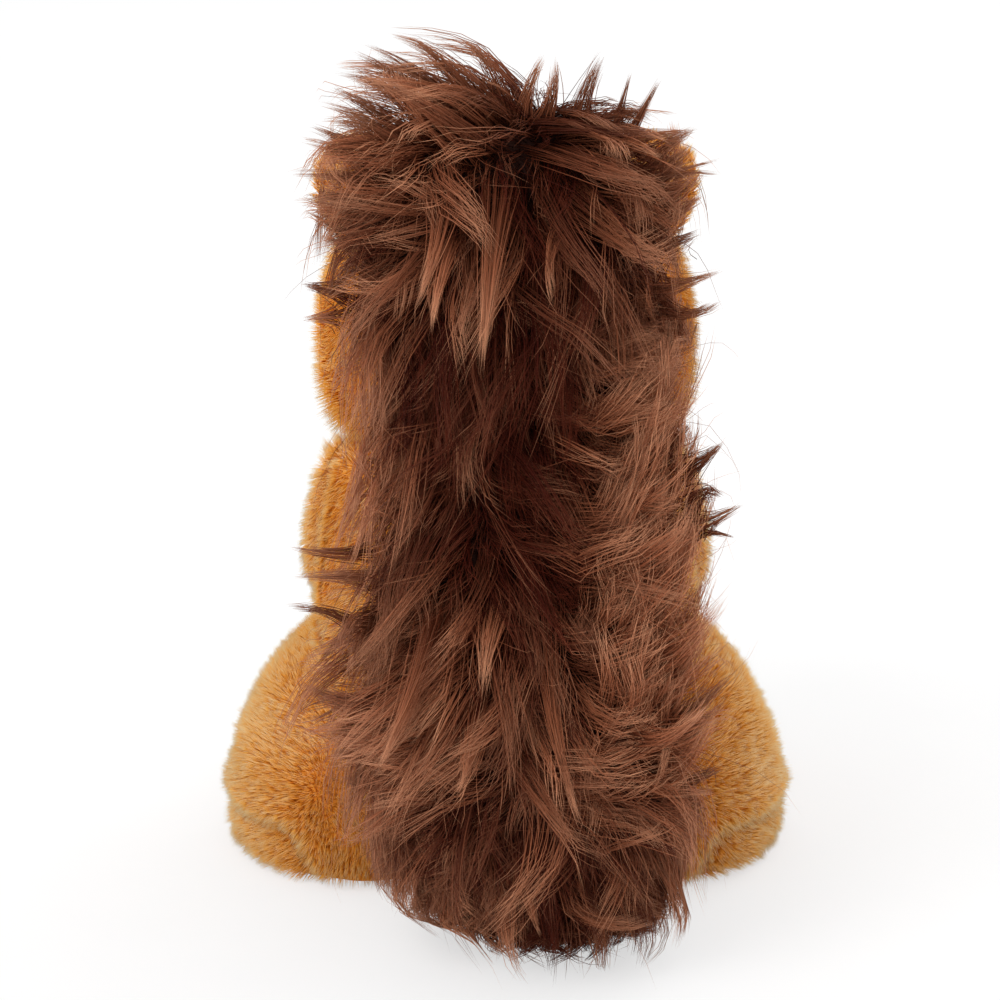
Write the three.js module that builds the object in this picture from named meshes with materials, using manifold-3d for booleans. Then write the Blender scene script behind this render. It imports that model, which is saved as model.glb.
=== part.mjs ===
// Sitting plush squirrel: pear torso, round head, haunches with long feet, short arms held
// forward and a long-pile tail that stands up behind the back.
// Millimetres, +Z up. The squirrel faces -Y, its left side is +X.
// The origin is the middle of the flat underside.

import * as THREE from "three";
import { mergeVertices } from "three/addons/utils/BufferGeometryUtils.js";
import Module from "manifold-3d";

const wasm = await Module();
wasm.setup();

// Cloth and clearances
const gap = 0.3; // between pieces that touch
const skin = 2; // plush cloth with its short pile

// Torso, a pear cut flat at the underside and at the neck seam
const torsoHeight = 118; // underside to neck seam
const torsoWidth = 102;
const torsoDepth = 94;
const bellyRise = 36; // widest level
const undersideWidth = 84;
const neckWidth = 84;
const panelThickness = 2; // underside panel
const bellyPanelWidth = 64;
const bellyPanelHeight = 82;
const pelletBagWidth = 66;
const pelletBagHeight = 26;
const neckPlugWidth = 38; // packed stuffing that carries the head
const neckPlugHeight = 36;

// Head
const headWidth = 100;
const headDepth = 88;
const headHeight = 72; // neck seam to crown
const cheekRise = 25; // widest level above the neck seam
const headSeamWidth = 77; // where the head meets the neck seam
const headForward = 2;

// Muzzle and nose
const muzzleWidth = 44;
const muzzleHeight = 32;
const muzzleReach = 19; // in front of the face
const muzzleRise = 19; // middle above the neck seam
const noseWidth = 13;
const noseHeight = 5;
const noseTilt = 32; // degrees above straight ahead
const noseWasherWidth = 8;

// Eyes and the washers that lock the studs
const eyeWidth = 12;
const eyeHeight = 5;
const eyeRise = 38; // above the neck seam
const eyeTurn = 29; // degrees away from straight ahead
const studWidth = 4;
const studLength = 9;
const washerWidth = 11;
const washerThickness = 1.6;

// Ears
const earWidth = 26;
const earHeight = 20; // above the crown where it is sewn
const earThickness = 8;
const earInset = 15; // ear root inside the widest of the head
const earBack = 4;
const earLean = 20; // degrees outward
const earFold = 15; // degrees of bending either way
const liningShare = 0.72;
const liningProud = 1.5;

// Arms
const armWidth = 26;
const armDepth = 33; // upper arm, front to back
const elbowProud = 3.5; // elbow beyond the widest of the torso
const pawSpan = 66; // between the middles of the paws
const pawReach = 56;
const pawDrop = 4; // paw below elbow
const shoulderDrop = 2; // top of the arm below the neck seam
const armPower = 1.9; // slope of the shoulder
const armOverHaunch = 2;
const armLower = 8; // degrees
const armRaise = 25; // degrees

// Haunches and feet
const haunchProud = 25; // haunch beyond the widest of the torso
const haunchWidth = 76;
const haunchDepth = 90;
const haunchHeight = 67;
const haunchRise = 12; // widest level
const haunchFootprint = 0.94; // share of the width that rests on the floor
const haunchPower = 1.75; // slope of the thigh
const haunchForward = 5;
const footWidth = 33;
const footLength = 64;
const footHeight = 25;
const footRise = 9; // widest level
const footSpan = 98; // between the middles of the feet
const toeReach = 87;
const soleThickness = 1.8;

// Tail, one fur tube in three lengths
const tailHeight = 232; // with the pile
const tailWidth = 88;
const tailDepth = 60;
const tailClearance = 4; // between the back and the tail
const tailCap = 20; // rounding at the tip
const tailSway = 12; // lean away from the back above the floor and at the tip
const tailRootDepth = 16; // start inside the rump
const tailFlat = 3; // pressed on the floor
const tailAside = 5; // stands to the right of the middle
const tailFloorAside = 10; // bend on the floor, to the right
const tailFloorDepth = 52; // thickness at the bend
const lowerSeam = 62.7; // floor to the first seam of the tail
const upperSeam = 152.3;

// Smoothness of the round forms
const roundPower = 2.4;
const torsoSides = 22;
const torsoRings = 12;
const haunchSides = 18;
const haunchRings = 10;
const innerSides = 14;
const innerRings = 8;
const tailSides = 18;
const tailSteps = 17;
const limbSides = 12;
const far = 400;

const up = new THREE.Vector3(0, 0, 1);
const sideways = new THREE.Vector3(1, 0, 0);
const radians = THREE.MathUtils.degToRad;

// Closed solid of a geometry
function solidFrom(geometry) {
  const bare = geometry.clone();
  bare.deleteAttribute("normal");
  bare.deleteAttribute("uv");
  const welded = mergeVertices(bare, 1e-4);
  const mesh = new wasm.Mesh({
    numProp: 3,
    vertProperties: new Float32Array(welded.attributes.position.array),
    triVerts: new Uint32Array(welded.index.array),
  });
  return new wasm.Manifold(mesh);
}

function geometryFrom(solid) {
  const mesh = solid.getMesh();
  const geometry = new THREE.BufferGeometry();
  geometry.setAttribute("position", new THREE.BufferAttribute(mesh.vertProperties.slice(), 3));
  geometry.setIndex(new THREE.BufferAttribute(mesh.triVerts.slice(), 1));
  geometry.computeVertexNormals();
  return geometry;
}

// Everything between two levels
function slab(low, high) {
  const box = new THREE.BoxGeometry(2 * far, 2 * far, high - low);
  box.translate(0, 0, (low + high) / 2);
  return solidFrom(box);
}

// Length from the widest level to the pole, so that the form narrows to a share at a distance
function reachFor(distance, share, power = roundPower) {
  return distance / (1 - share ** power) ** (1 / power);
}

// Egg with its own widest level: one profile turned about a vertical axis, then flattened
function eggGeometry(form, grow = 0, sides = torsoSides, rings = torsoRings) {
  const power = form.power ?? roundPower;
  const halfWidth = form.halfWidth + grow;
  const halfDepth = form.halfDepth + grow;
  const below = form.widest - form.low + grow;
  const above = form.high - form.widest + grow;
  const profile = [];
  for (let i = 0; i <= rings; i += 1) {
    const angle = Math.PI * (i / rings - 0.5);
    const rise = Math.sign(angle) * Math.abs(Math.sin(angle)) ** (2 / power);
    const round = i === 0 || i === rings ? 0 : Math.cos(angle) ** (2 / power);
    profile.push(new THREE.Vector2(round * halfWidth, form.widest + rise * (rise < 0 ? below : above)));
  }
  const geometry = new THREE.LatheGeometry(profile, sides);
  geometry.rotateX(Math.PI / 2);
  geometry.scale(1, halfDepth / halfWidth, 1);
  geometry.translate(form.x ?? 0, form.y ?? 0, 0);
  return geometry;
}

function egg(form, grow, sides, rings) {
  return solidFrom(eggGeometry(form, grow, sides, rings));
}

function innerEgg(form, grow) {
  return egg(form, grow, innerSides, innerRings);
}

// Share of the full width that an egg has at a level, and the level where it has a share
function eggShare(form, level) {
  const power = form.power ?? roundPower;
  const reach = level < form.widest ? form.widest - form.low : form.high - form.widest;
  return (1 - (Math.abs(level - form.widest) / reach) ** power) ** (1 / power);
}

function eggLevel(form, share) {
  const power = form.power ?? roundPower;
  return form.widest + (form.high - form.widest) * (1 - share ** power) ** (1 / power);
}

// Point and outward direction on an egg at a level, turned away from straight ahead
function eggPoint(form, level, turn) {
  const place = (height) => {
    const share = eggShare(form, height);
    const x = (form.x ?? 0) + form.halfWidth * share * Math.sin(turn);
    const y = (form.y ?? 0) - form.halfDepth * share * Math.cos(turn);
    return new THREE.Vector3(x, y, height);
  };
  const point = place(level);
  const rise = place(level + 0.5).sub(place(level - 0.5));
  const across = new THREE.Vector3(form.halfWidth * Math.cos(turn), form.halfDepth * Math.sin(turn), 0);
  return { point, normal: across.cross(rise).normalize() };
}

// Elliptical sections along a curve, closed by half ellipsoids at both ends
function sweepGeometry(curve, sizes, startCap, endCap, sides, steps, grow = 0) {
  const rows = [];
  const addRow = (t, along, share) => {
    const tangent = curve.getTangent(t);
    const across = sideways.clone().addScaledVector(tangent, -sideways.dot(tangent)).normalize();
    const deep = tangent.clone().cross(across);
    const size = sizes.getPoint(t);
    rows.push({
      middle: curve.getPoint(t).addScaledVector(tangent, along),
      across: across.multiplyScalar((size.x + grow) * share),
      deep: deep.multiplyScalar((size.y + grow) * share),
    });
  };
  const capSteps = [0.25, 0.55, 0.8].map((share) => share * Math.PI / 2);
  for (const angle of [...capSteps].reverse()) {
    addRow(0, -(startCap + grow) * Math.sin(angle), Math.cos(angle));
  }
  for (let i = 0; i <= steps; i += 1) {
    addRow(i / steps, 0, 1);
  }
  for (const angle of capSteps) {
    addRow(1, (endCap + grow) * Math.sin(angle), Math.cos(angle));
  }
  const start = curve.getPoint(0).addScaledVector(curve.getTangent(0), -startCap - grow);
  const end = curve.getPoint(1).addScaledVector(curve.getTangent(1), endCap + grow);
  const points = [];
  for (const row of rows) {
    for (let j = 0; j < sides; j += 1) {
      const angle = 2 * Math.PI * j / sides;
      const point = row.middle.clone().addScaledVector(row.across, Math.cos(angle));
      points.push(point.addScaledVector(row.deep, Math.sin(angle)));
    }
  }
  points.push(start, end);
  const index = [];
  const at = (row, side) => row * sides + side % sides;
  for (let j = 0; j < sides; j += 1) {
    index.push(points.length - 2, at(0, j + 1), at(0, j));
    index.push(points.length - 1, at(rows.length - 1, j), at(rows.length - 1, j + 1));
    for (let i = 0; i + 1 < rows.length; i += 1) {
      index.push(at(i, j), at(i, j + 1), at(i + 1, j + 1));
      index.push(at(i, j), at(i + 1, j + 1), at(i + 1, j));
    }
  }
  const geometry = new THREE.BufferGeometry().setFromPoints(points);
  geometry.setIndex(index);
  return geometry;
}

// Room that a form needs when the piece beside it turns about a pivot between two angles
function sweptRoom(geometry, pivot, axis, from, to, steps) {
  let room = null;
  for (let i = 0; i <= steps; i += 1) {
    const angle = -radians(THREE.MathUtils.lerp(from, to, i / steps));
    const turned = geometry.clone();
    turned.translate(-pivot.x, -pivot.y, -pivot.z);
    turned.applyMatrix4(new THREE.Matrix4().makeRotationAxis(axis, angle));
    turned.translate(pivot.x, pivot.y, pivot.z);
    const solid = solidFrom(turned);
    room = room ? room.add(solid) : solid;
  }
  return room;
}

// Turned piece whose axis is laid along a direction at a point
function turnedAt(profile, seat, sides, flatten = 1) {
  const geometry = new THREE.LatheGeometry(profile, sides);
  geometry.rotateX(Math.PI / 2);
  geometry.scale(1, flatten, 1);
  geometry.applyQuaternion(new THREE.Quaternion().setFromUnitVectors(up, seat.normal));
  geometry.translate(seat.point.x, seat.point.y, seat.point.z);
  return solidFrom(geometry);
}

// Domed stud on a stem; level 0 is the back of the dome
function studProfile(width, height) {
  const profile = [[0, -studLength], [studWidth / 2, -studLength], [studWidth / 2, gap], [width / 2, gap]];
  for (const angle of [25, 50, 72].map(radians)) {
    profile.push([width / 2 * Math.cos(angle), gap + height * Math.sin(angle)]);
  }
  profile.push([0, gap + height]);
  return profile.map(([r, z]) => new THREE.Vector2(r, z));
}

function rodProfile(width, low, high) {
  return [[0, low], [width / 2, low], [width / 2, high], [0, high]].map(([r, z]) => new THREE.Vector2(r, z));
}

function ringProfile(inner, outer, low, high) {
  const corners = [[inner, low], [outer, low], [outer, high], [inner, high], [inner, low]];
  return corners.map(([w, z]) => new THREE.Vector2(w / 2, z));
}

// Forms that the pieces are cut from
const torso = {
  halfWidth: torsoWidth / 2,
  halfDepth: torsoDepth / 2,
  low: bellyRise - reachFor(bellyRise, undersideWidth / torsoWidth),
  widest: bellyRise,
  high: bellyRise + reachFor(torsoHeight - bellyRise, neckWidth / torsoWidth),
};
const headLow = torsoHeight + gap;
const head = {
  y: -headForward,
  halfWidth: headWidth / 2,
  halfDepth: headDepth / 2,
  low: torsoHeight + cheekRise - reachFor(cheekRise, headSeamWidth / headWidth),
  widest: torsoHeight + cheekRise,
  high: torsoHeight + headHeight,
};
const pelletBag = {
  halfWidth: pelletBagWidth / 2,
  halfDepth: pelletBagWidth / 2,
  low: panelThickness - pelletBagHeight,
  widest: panelThickness + pelletBagHeight / 3,
  high: panelThickness + pelletBagHeight,
};
const muzzleMiddle = torsoHeight + muzzleRise;
const faceFront = head.y - head.halfDepth * eggShare(head, muzzleMiddle);
const muzzle = {
  y: faceFront - muzzleReach + muzzleWidth / 2,
  halfWidth: muzzleWidth / 2,
  halfDepth: muzzleWidth / 2,
  low: muzzleMiddle - muzzleHeight / 2,
  widest: muzzleMiddle,
  high: muzzleMiddle + muzzleHeight / 2,
  power: 2,
};

const torsoRoom = egg(torso, gap);
const headRoom = egg(head, gap);
const floorUp = slab(0, far);
const aboveNeck = slab(headLow, far);
const betweenEnds = slab(panelThickness + gap, torsoHeight);

const squirrel = new THREE.Group();
squirrel.name = "plush_squirrel";
const torsoGroup = new THREE.Group();
const headGroup = new THREE.Group();
const limbGroup = new THREE.Group();
const tailGroup = new THREE.Group();
squirrel.add(torsoGroup, headGroup, limbGroup, tailGroup);

function addPiece(group, name, solid, color, roughness = 0.9) {
  const material = new THREE.MeshStandardMaterial({ color, roughness, metalness: 0 });
  const mesh = new THREE.Mesh(geometryFrom(solid), material);
  mesh.name = name;
  group.add(mesh);
}

const golden = 0xc58843;
const cream = 0xe8d6b4;
const brown = 0x6b4130;
const filling = 0xf1efe9;
const beads = 0xd9d4c6;
const darkPlastic = 0x0d0a09;
const clearPlastic = 0xe4e4df;
const earPink = 0xd9b08c;

// Torso
const torsoShell = egg(torso).subtract(innerEgg(torso, -skin)).intersect(betweenEnds);
function bellyWindow(grow) {
  const window = new THREE.CylinderGeometry(1, 1, far, 28);
  window.scale(bellyPanelWidth / 2 + grow, 1, bellyPanelHeight / 2 + grow);
  window.translate(0, -far / 2 - torsoDepth / 8, torsoHeight / 2);
  return solidFrom(window);
}
const neckPlug = {
  halfWidth: neckPlugWidth / 2,
  halfDepth: neckPlugWidth / 2,
  low: torsoHeight - neckPlugHeight / 2,
  widest: torsoHeight,
  high: torsoHeight + neckPlugHeight / 2,
};
const plugSides = 22;
const plugSag = neckPlug.halfWidth * (1 - Math.cos(Math.PI / plugSides)); // lets its flats turn
const neckRoom = egg(neckPlug, gap + plugSag, plugSides, innerRings);
const bagRoom = innerEgg(pelletBag, gap);
addPiece(torsoGroup, "torso_cover", torsoShell.subtract(bellyWindow(gap)), golden);
addPiece(torsoGroup, "belly_panel", torsoShell.intersect(bellyWindow(0)), cream);
addPiece(torsoGroup, "underside_panel", egg(torso).intersect(slab(0, panelThickness)), golden);
addPiece(torsoGroup, "pellet_bag", innerEgg(pelletBag, 0).intersect(betweenEnds), beads);
const torsoFilling = innerEgg(torso, -skin - gap).intersect(betweenEnds);
addPiece(torsoGroup, "torso_stuffing", torsoFilling.subtract(bagRoom).subtract(neckRoom), filling);

// Head with eyes, muzzle and nose
const facetShare = 2 - Math.cos(Math.PI / innerSides) - Math.cos(Math.PI / 2 / innerRings); // flats inside
const innerSag = facetShare * head.halfWidth;
const washerSag = washerWidth ** 2 / 4 / headDepth;
const washerTop = -skin - innerSag - washerSag - gap;
const washerRing = ringProfile(studWidth + gap, washerWidth, washerTop - washerThickness, washerTop);
const stemHole = rodProfile(studWidth + 2 * gap, -studLength - gap, studLength);
const stemPocket = rodProfile(washerWidth + 2 * gap, -studLength - gap, studLength);

let headShell = egg(head).subtract(innerEgg(head, -skin)).intersect(aboveNeck);
let headFilling = innerEgg(head, -skin - gap).intersect(aboveNeck).subtract(neckRoom);
for (const [name, side] of [["left", 1], ["right", -1]]) {
  const seat = eggPoint(head, torsoHeight + eyeRise, side * radians(eyeTurn));
  headShell = headShell.subtract(turnedAt(stemHole, seat, 14));
  headFilling = headFilling.subtract(turnedAt(stemPocket, seat, 14));
  addPiece(headGroup, `${name}_eye`, turnedAt(studProfile(eyeWidth, eyeHeight), seat, 16), darkPlastic, 0.12);
  addPiece(headGroup, `${name}_eye_washer`, turnedAt(washerRing, seat, 12), clearPlastic, 0.5);
}
addPiece(headGroup, "head_cover", headShell, golden);
addPiece(headGroup, "head_stuffing", headFilling, filling);
addPiece(headGroup, "neck_stuffing", egg(neckPlug, 0, plugSides, innerRings), filling);

const noseSeat = eggPoint(muzzle, muzzleMiddle + muzzleHeight / 2 * Math.sin(radians(noseTilt)), 0);
const muzzleInnerSag = facetShare * muzzle.halfWidth;
const muzzleBend = (muzzleHeight / 2 - skin) ** 2 / (muzzle.halfWidth - skin); // tightest radius inside
const noseWasherTop = -skin - muzzleInnerSag - noseWasherWidth ** 2 / 8 / muzzleBend - gap;
const noseRing = ringProfile(studWidth + gap, noseWasherWidth, noseWasherTop - washerThickness, noseWasherTop);
const muzzleShell = egg(muzzle, 0, 18, 10).subtract(innerEgg(muzzle, -skin)).subtract(headRoom);
const muzzleFilling = innerEgg(muzzle, -skin - gap).subtract(headRoom);
const noseSolid = turnedAt(studProfile(noseWidth, noseHeight), noseSeat, 16, 0.72);
addPiece(headGroup, "muzzle_cover", muzzleShell.subtract(turnedAt(stemHole, noseSeat, 14)), cream);
addPiece(headGroup, "muzzle_stuffing", muzzleFilling.subtract(turnedAt(stemPocket, noseSeat, 14)), filling);
addPiece(headGroup, "nose", noseSolid, darkPlastic, 0.3);
addPiece(headGroup, "nose_washer", turnedAt(noseRing, noseSeat, 12), clearPlastic, 0.5);

// Ears, flat leaves sewn on the crown
const earRoot = head.halfWidth - earInset;
const earRootShare = Math.hypot(earRoot / head.halfWidth, (earBack - head.y) / head.halfDepth);
const earLeaf = {
  halfWidth: earWidth / 2,
  halfDepth: earThickness / 2,
  low: -earHeight / 2,
  widest: earHeight / 4,
  high: earHeight,
};
const liningLeaf = {
  halfWidth: liningShare * earLeaf.halfWidth,
  halfDepth: earLeaf.halfDepth + liningProud,
  low: liningShare * earLeaf.low,
  widest: earLeaf.widest,
  high: liningShare * earLeaf.high,
};
for (const [name, side] of [["left", 1], ["right", -1]]) {
  const root = new THREE.Vector3(side * earRoot, earBack, eggLevel(head, earRootShare));
  const lean = new THREE.Matrix4().makeRotationY(side * radians(earLean));
  const foldAxis = sideways.clone().applyMatrix4(lean);
  const place = lean.clone().setPosition(root);
  const ear = solidFrom(eggGeometry(earLeaf, 0, 18, 10).applyMatrix4(place));
  const earRoom = solidFrom(eggGeometry(earLeaf, gap, 18, 10).applyMatrix4(place));
  const lining = solidFrom(eggGeometry(liningLeaf, 0, 16, 8).applyMatrix4(place));
  const front = new THREE.BoxGeometry(far, far, far).translate(0, -far / 2, 0).applyMatrix4(place);
  const crown = sweptRoom(eggGeometry(head, gap), root, foldAxis, -earFold, earFold, 2);
  addPiece(headGroup, `${name}_ear`, ear.subtract(crown), golden);
  const liningSolid = lining.intersect(solidFrom(front)).subtract(earRoom).subtract(crown);
  addPiece(headGroup, `${name}_ear_lining`, liningSolid, earPink);
}

// Haunches sewn to the sides of the torso, feet hinged at the seam above the instep
const haunchMiddle = torsoWidth / 2 + haunchProud - haunchWidth / 2;
const elbowLevel = haunchHeight + armOverHaunch + armWidth / 2;
let rumpRoom = torsoRoom;
for (const [name, side] of [["left", 1], ["right", -1]]) {
  const haunch = {
    x: side * haunchMiddle,
    y: -haunchForward,
    halfWidth: haunchWidth / 2,
    halfDepth: haunchDepth / 2,
    low: haunchRise - reachFor(haunchRise, haunchFootprint, haunchPower),
    widest: haunchRise,
    high: haunchHeight,
    power: haunchPower,
  };
  const haunchRoom = egg(haunch, gap, haunchSides, haunchRings);
  rumpRoom = rumpRoom.add(haunchRoom);
  const haunchOuter = egg(haunch, 0, haunchSides, haunchRings).subtract(torsoRoom).intersect(floorUp);
  const haunchHollow = innerEgg(haunch, -skin).intersect(slab(skin, far));
  const haunchFilling = innerEgg(haunch, -skin - gap).intersect(slab(skin + gap, far));
  addPiece(limbGroup, `${name}_haunch_cover`, haunchOuter.subtract(haunchHollow), golden);
  addPiece(limbGroup, `${name}_haunch_stuffing`, haunchFilling.subtract(torsoRoom), filling);

  const foot = {
    x: side * footSpan / 2,
    y: footLength / 2 - toeReach,
    halfWidth: footWidth / 2,
    halfDepth: footLength / 2,
    low: -footRise,
    widest: footRise,
    high: footHeight,
    power: 2.2,
  };
  const overSole = slab(soleThickness + gap, far);
  const footOuter = egg(foot, 0, 16, 9).intersect(overSole).subtract(haunchRoom);
  const footHollow = innerEgg(foot, -skin);
  const footFilling = innerEgg(foot, -skin - gap).intersect(overSole).subtract(haunchRoom);
  const sole = egg(foot, 0, 16, 9).intersect(slab(0, soleThickness)).subtract(haunchRoom);
  addPiece(limbGroup, `${name}_foot_cover`, footOuter.subtract(footHollow), golden);
  addPiece(limbGroup, `${name}_foot_stuffing`, footFilling, filling);
  addPiece(limbGroup, `${name}_sole_pad`, sole, cream);

  // Arm: upper arm hanging from the shoulder, forearm held forward from the elbow
  const armHalf = armWidth / 2;
  const elbowOut = torsoWidth / 2 + elbowProud - armHalf;
  const shoulderTop = torsoHeight - shoulderDrop;
  const upperArm = {
    x: side * elbowOut,
    halfWidth: armHalf,
    halfDepth: armDepth / 2,
    low: elbowLevel - armHalf,
    widest: elbowLevel,
    high: shoulderTop,
    power: armPower,
  };
  const forearm = new THREE.CatmullRomCurve3([
    new THREE.Vector3(side * elbowOut, -armHalf / 4, elbowLevel),
    new THREE.Vector3(side * (elbowOut + pawSpan / 2) / 2, -(pawReach + armHalf / 4) / 2, elbowLevel - pawDrop / 3),
    new THREE.Vector3(side * pawSpan / 2, -pawReach, elbowLevel - pawDrop),
  ]);
  const forearmSizes = new THREE.CatmullRomCurve3(
    [0.92, 0.84, 0.92].map((share) => new THREE.Vector3(share * armHalf, share * armHalf, 0)),
  );
  const armForm = (grow) => {
    const lower = sweepGeometry(forearm, forearmSizes, armHalf * 0.6, armHalf * 0.9, limbSides, 6, grow);
    return egg(upperArm, grow, innerSides, innerRings).add(solidFrom(lower));
  };
  const shoulderSeam = new THREE.Vector3(0, 0, torsoHeight);
  const swing = sideways.clone().negate();
  const flank = sweptRoom(eggGeometry(torso, gap), shoulderSeam, swing, -armLower, armRaise, 3);
  const armOuter = armForm(0).subtract(flank).subtract(haunchRoom);
  addPiece(limbGroup, `${name}_arm_cover`, armOuter.subtract(armForm(-skin)), golden);
  addPiece(limbGroup, `${name}_arm_stuffing`, armForm(-skin - gap).subtract(flank), filling);
}

// Tail: out of the rump, over the floor and up behind the back
const backReach = Math.max(torso.halfDepth, head.halfDepth + head.y);
const tailStand = backReach + tailClearance + tailDepth / 2;
const tailPoints = [
  [0, torso.halfDepth - tailRootDepth, lowerSeam / 2],
  [-tailFloorAside, tailStand - tailSway, tailFloorDepth / 2 - tailFlat],
  [-tailAside, tailStand + tailSway, lowerSeam],
  [-tailAside, tailStand + tailSway / 2, (lowerSeam + upperSeam) / 2],
  [-tailAside, tailStand, upperSeam],
  [0, tailStand + tailSway / 3, (upperSeam + tailHeight) / 2],
  [0, tailStand + tailSway, tailHeight - tailCap],
];
const floorShare = tailFloorDepth / tailDepth;
const tailShares = [[0.6, 0.7], [0.84, floorShare], [1, 1], [0.95, 0.96], [0.93, 0.92], [0.98, 0.92], [0.78, 0.8]];
const tailCurve = new THREE.CatmullRomCurve3(tailPoints.map((place) => new THREE.Vector3(...place)));
const tailSizes = new THREE.CatmullRomCurve3(
  tailShares.map(([wide, deep]) => new THREE.Vector3(wide * tailWidth / 2, deep * tailDepth / 2, 0)),
);
function tailForm(grow, sides) {
  return solidFrom(sweepGeometry(tailCurve, tailSizes, tailRootDepth / 4, tailCap, sides, tailSteps, grow));
}
const tailOuter = tailForm(0, tailSides).intersect(floorUp).subtract(rumpRoom);
const tailHollow = tailForm(-skin, 12).intersect(slab(skin, far));
const tailCore = tailForm(-skin - gap, 12).intersect(slab(skin + gap, far));
const tailFilling = tailCore.intersect(tailHollow).subtract(rumpRoom);
const tailShell = tailOuter.subtract(tailHollow);
const tailLengths = {
  tail_base: slab(0, lowerSeam),
  tail_middle: slab(lowerSeam + gap, upperSeam),
  tail_tip: slab(upperSeam + gap, far),
};
for (const [name, length] of Object.entries(tailLengths)) {
  addPiece(tailGroup, `${name}_cover`, tailShell.intersect(length), brown);
  addPiece(tailGroup, `${name}_stuffing`, tailFilling.intersect(length), filling);
}

export default squirrel;
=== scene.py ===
import math
from collections import namedtuple
import bpy
import numpy as np
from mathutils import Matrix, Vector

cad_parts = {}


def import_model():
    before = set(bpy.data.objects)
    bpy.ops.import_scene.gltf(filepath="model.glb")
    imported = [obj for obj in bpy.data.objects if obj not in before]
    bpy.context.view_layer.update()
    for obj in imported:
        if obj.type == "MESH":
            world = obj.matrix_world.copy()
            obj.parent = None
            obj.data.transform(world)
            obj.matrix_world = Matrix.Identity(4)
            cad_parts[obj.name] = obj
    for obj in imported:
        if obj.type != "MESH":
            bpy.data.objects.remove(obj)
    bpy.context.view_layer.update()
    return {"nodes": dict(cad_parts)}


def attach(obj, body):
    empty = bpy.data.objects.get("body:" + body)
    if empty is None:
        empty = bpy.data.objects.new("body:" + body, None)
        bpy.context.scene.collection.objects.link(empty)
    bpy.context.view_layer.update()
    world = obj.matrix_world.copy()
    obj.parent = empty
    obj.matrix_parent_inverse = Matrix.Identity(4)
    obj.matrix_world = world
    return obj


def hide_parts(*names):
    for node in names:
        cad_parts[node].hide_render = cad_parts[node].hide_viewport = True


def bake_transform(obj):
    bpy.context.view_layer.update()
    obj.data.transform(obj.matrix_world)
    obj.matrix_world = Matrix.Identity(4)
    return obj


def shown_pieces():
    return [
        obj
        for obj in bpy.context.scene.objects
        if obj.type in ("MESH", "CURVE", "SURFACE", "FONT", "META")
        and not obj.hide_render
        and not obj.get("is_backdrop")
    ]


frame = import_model()
mm = 0.001
tau = 2 * math.pi

# shader maths and finishes


def linear(red, green, blue):  # screen colour 0-255 to scene colour
    share = np.array([red, green, blue]) / 255
    value = np.where(share <= 0.04045, share / 12.92, ((share + 0.055) / 1.055) ** 2.4)
    return (*[float(v) for v in value], 1.0)


class Wire:  # one socket, with the sums that the finishes use
    def __init__(self, finish, socket):
        self.finish, self.socket = finish, socket

    def sum(self, operation, first, second):
        return self.finish.node("ShaderNodeMath", {"operation": operation}, {0: first, 1: second})

    def __add__(self, other):
        return self.sum("ADD", self, other)

    def __radd__(self, other):
        return self.sum("ADD", other, self)

    def __mul__(self, other):
        return self.sum("MULTIPLY", self, other)

    def __rmul__(self, other):
        return self.sum("MULTIPLY", other, self)


class Finish:  # a material around one Principled shader
    def __init__(self, name, **fixed):
        self.material = bpy.data.materials.new(name)
        self.material.use_nodes = True
        self.tree = self.material.node_tree
        self.shader = next(n for n in self.tree.nodes if n.type == "BSDF_PRINCIPLED")
        self.use(**fixed)

    def put(self, node, inputs):
        for key, value in inputs.items():
            if isinstance(value, Wire):
                self.tree.links.new(value.socket, node.inputs[key])
            else:
                node.inputs[key].default_value = value

    def node(self, kind, settings=None, inputs=None, output=0):
        node = self.tree.nodes.new(kind)
        for key, value in (settings or {}).items():
            if key == "stops":
                while len(node.color_ramp.elements) < len(value):
                    node.color_ramp.elements.new(0.5)
                for element, (place, colour) in zip(node.color_ramp.elements, value):
                    element.position, element.color = place, colour
            else:
                setattr(node, key, value)
        self.put(node, inputs or {})
        return Wire(self, node.outputs[output])

    def mix(self, share, first, second):
        return self.node("ShaderNodeMix", {"data_type": "RGBA"}, {0: share, 6: first, 7: second}, 2)

    def ramp(self, share, stops):
        return self.node("ShaderNodeValToRGB", {"stops": stops}, {0: share})

    def noise(self, where, scale, detail=2.0, rough=0.5):
        inputs = {"Vector": where, "Scale": scale, "Detail": detail, "Roughness": rough}
        return self.node("ShaderNodeTexNoise", {}, inputs)

    def relief(self, height, strength, distance):
        inputs = {"Strength": strength, "Distance": distance, "Height": height}
        return self.node("ShaderNodeBump", {}, inputs)

    def place(self):
        return self.node("ShaderNodeTexCoord", {}, {}, "Object")

    def strandMap(self):  # tone across and root to tip along, from the strand's own map
        both = self.node("ShaderNodeUVMap", {"uv_map": "OFBake"})
        split = self.node("ShaderNodeSeparateXYZ", {}, {0: both})
        return split, Wire(self, split.socket.node.outputs[1])

    def use(self, **links):
        self.put(self.shader, {key.replace("_", " "): value for key, value in links.items()})
        return self.material


def strandFinish(name, dark, light, roughness, shine):
    # each hair runs from its root colour to its tip colour, between a dark and a light set by its tone, which
    # also carries any painted light and shade; the deep roots and pale tips are partly the fibre's own
    # colour, partly painted shade low in the pile and painted light on the tips
    finish = Finish(name, Roughness=roughness, Specular_IOR_Level=shine)
    tone, along = finish.strandMap()
    places = (0.0, 0.5, 1.0)  # root, middle and tip
    first, second = (finish.ramp(along, [(place, linear(*colour)) for place, colour in zip(places, colours)])
                     for colours in (dark, light))
    return finish.use(Base_Color=finish.mix(tone, first, second))


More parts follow.
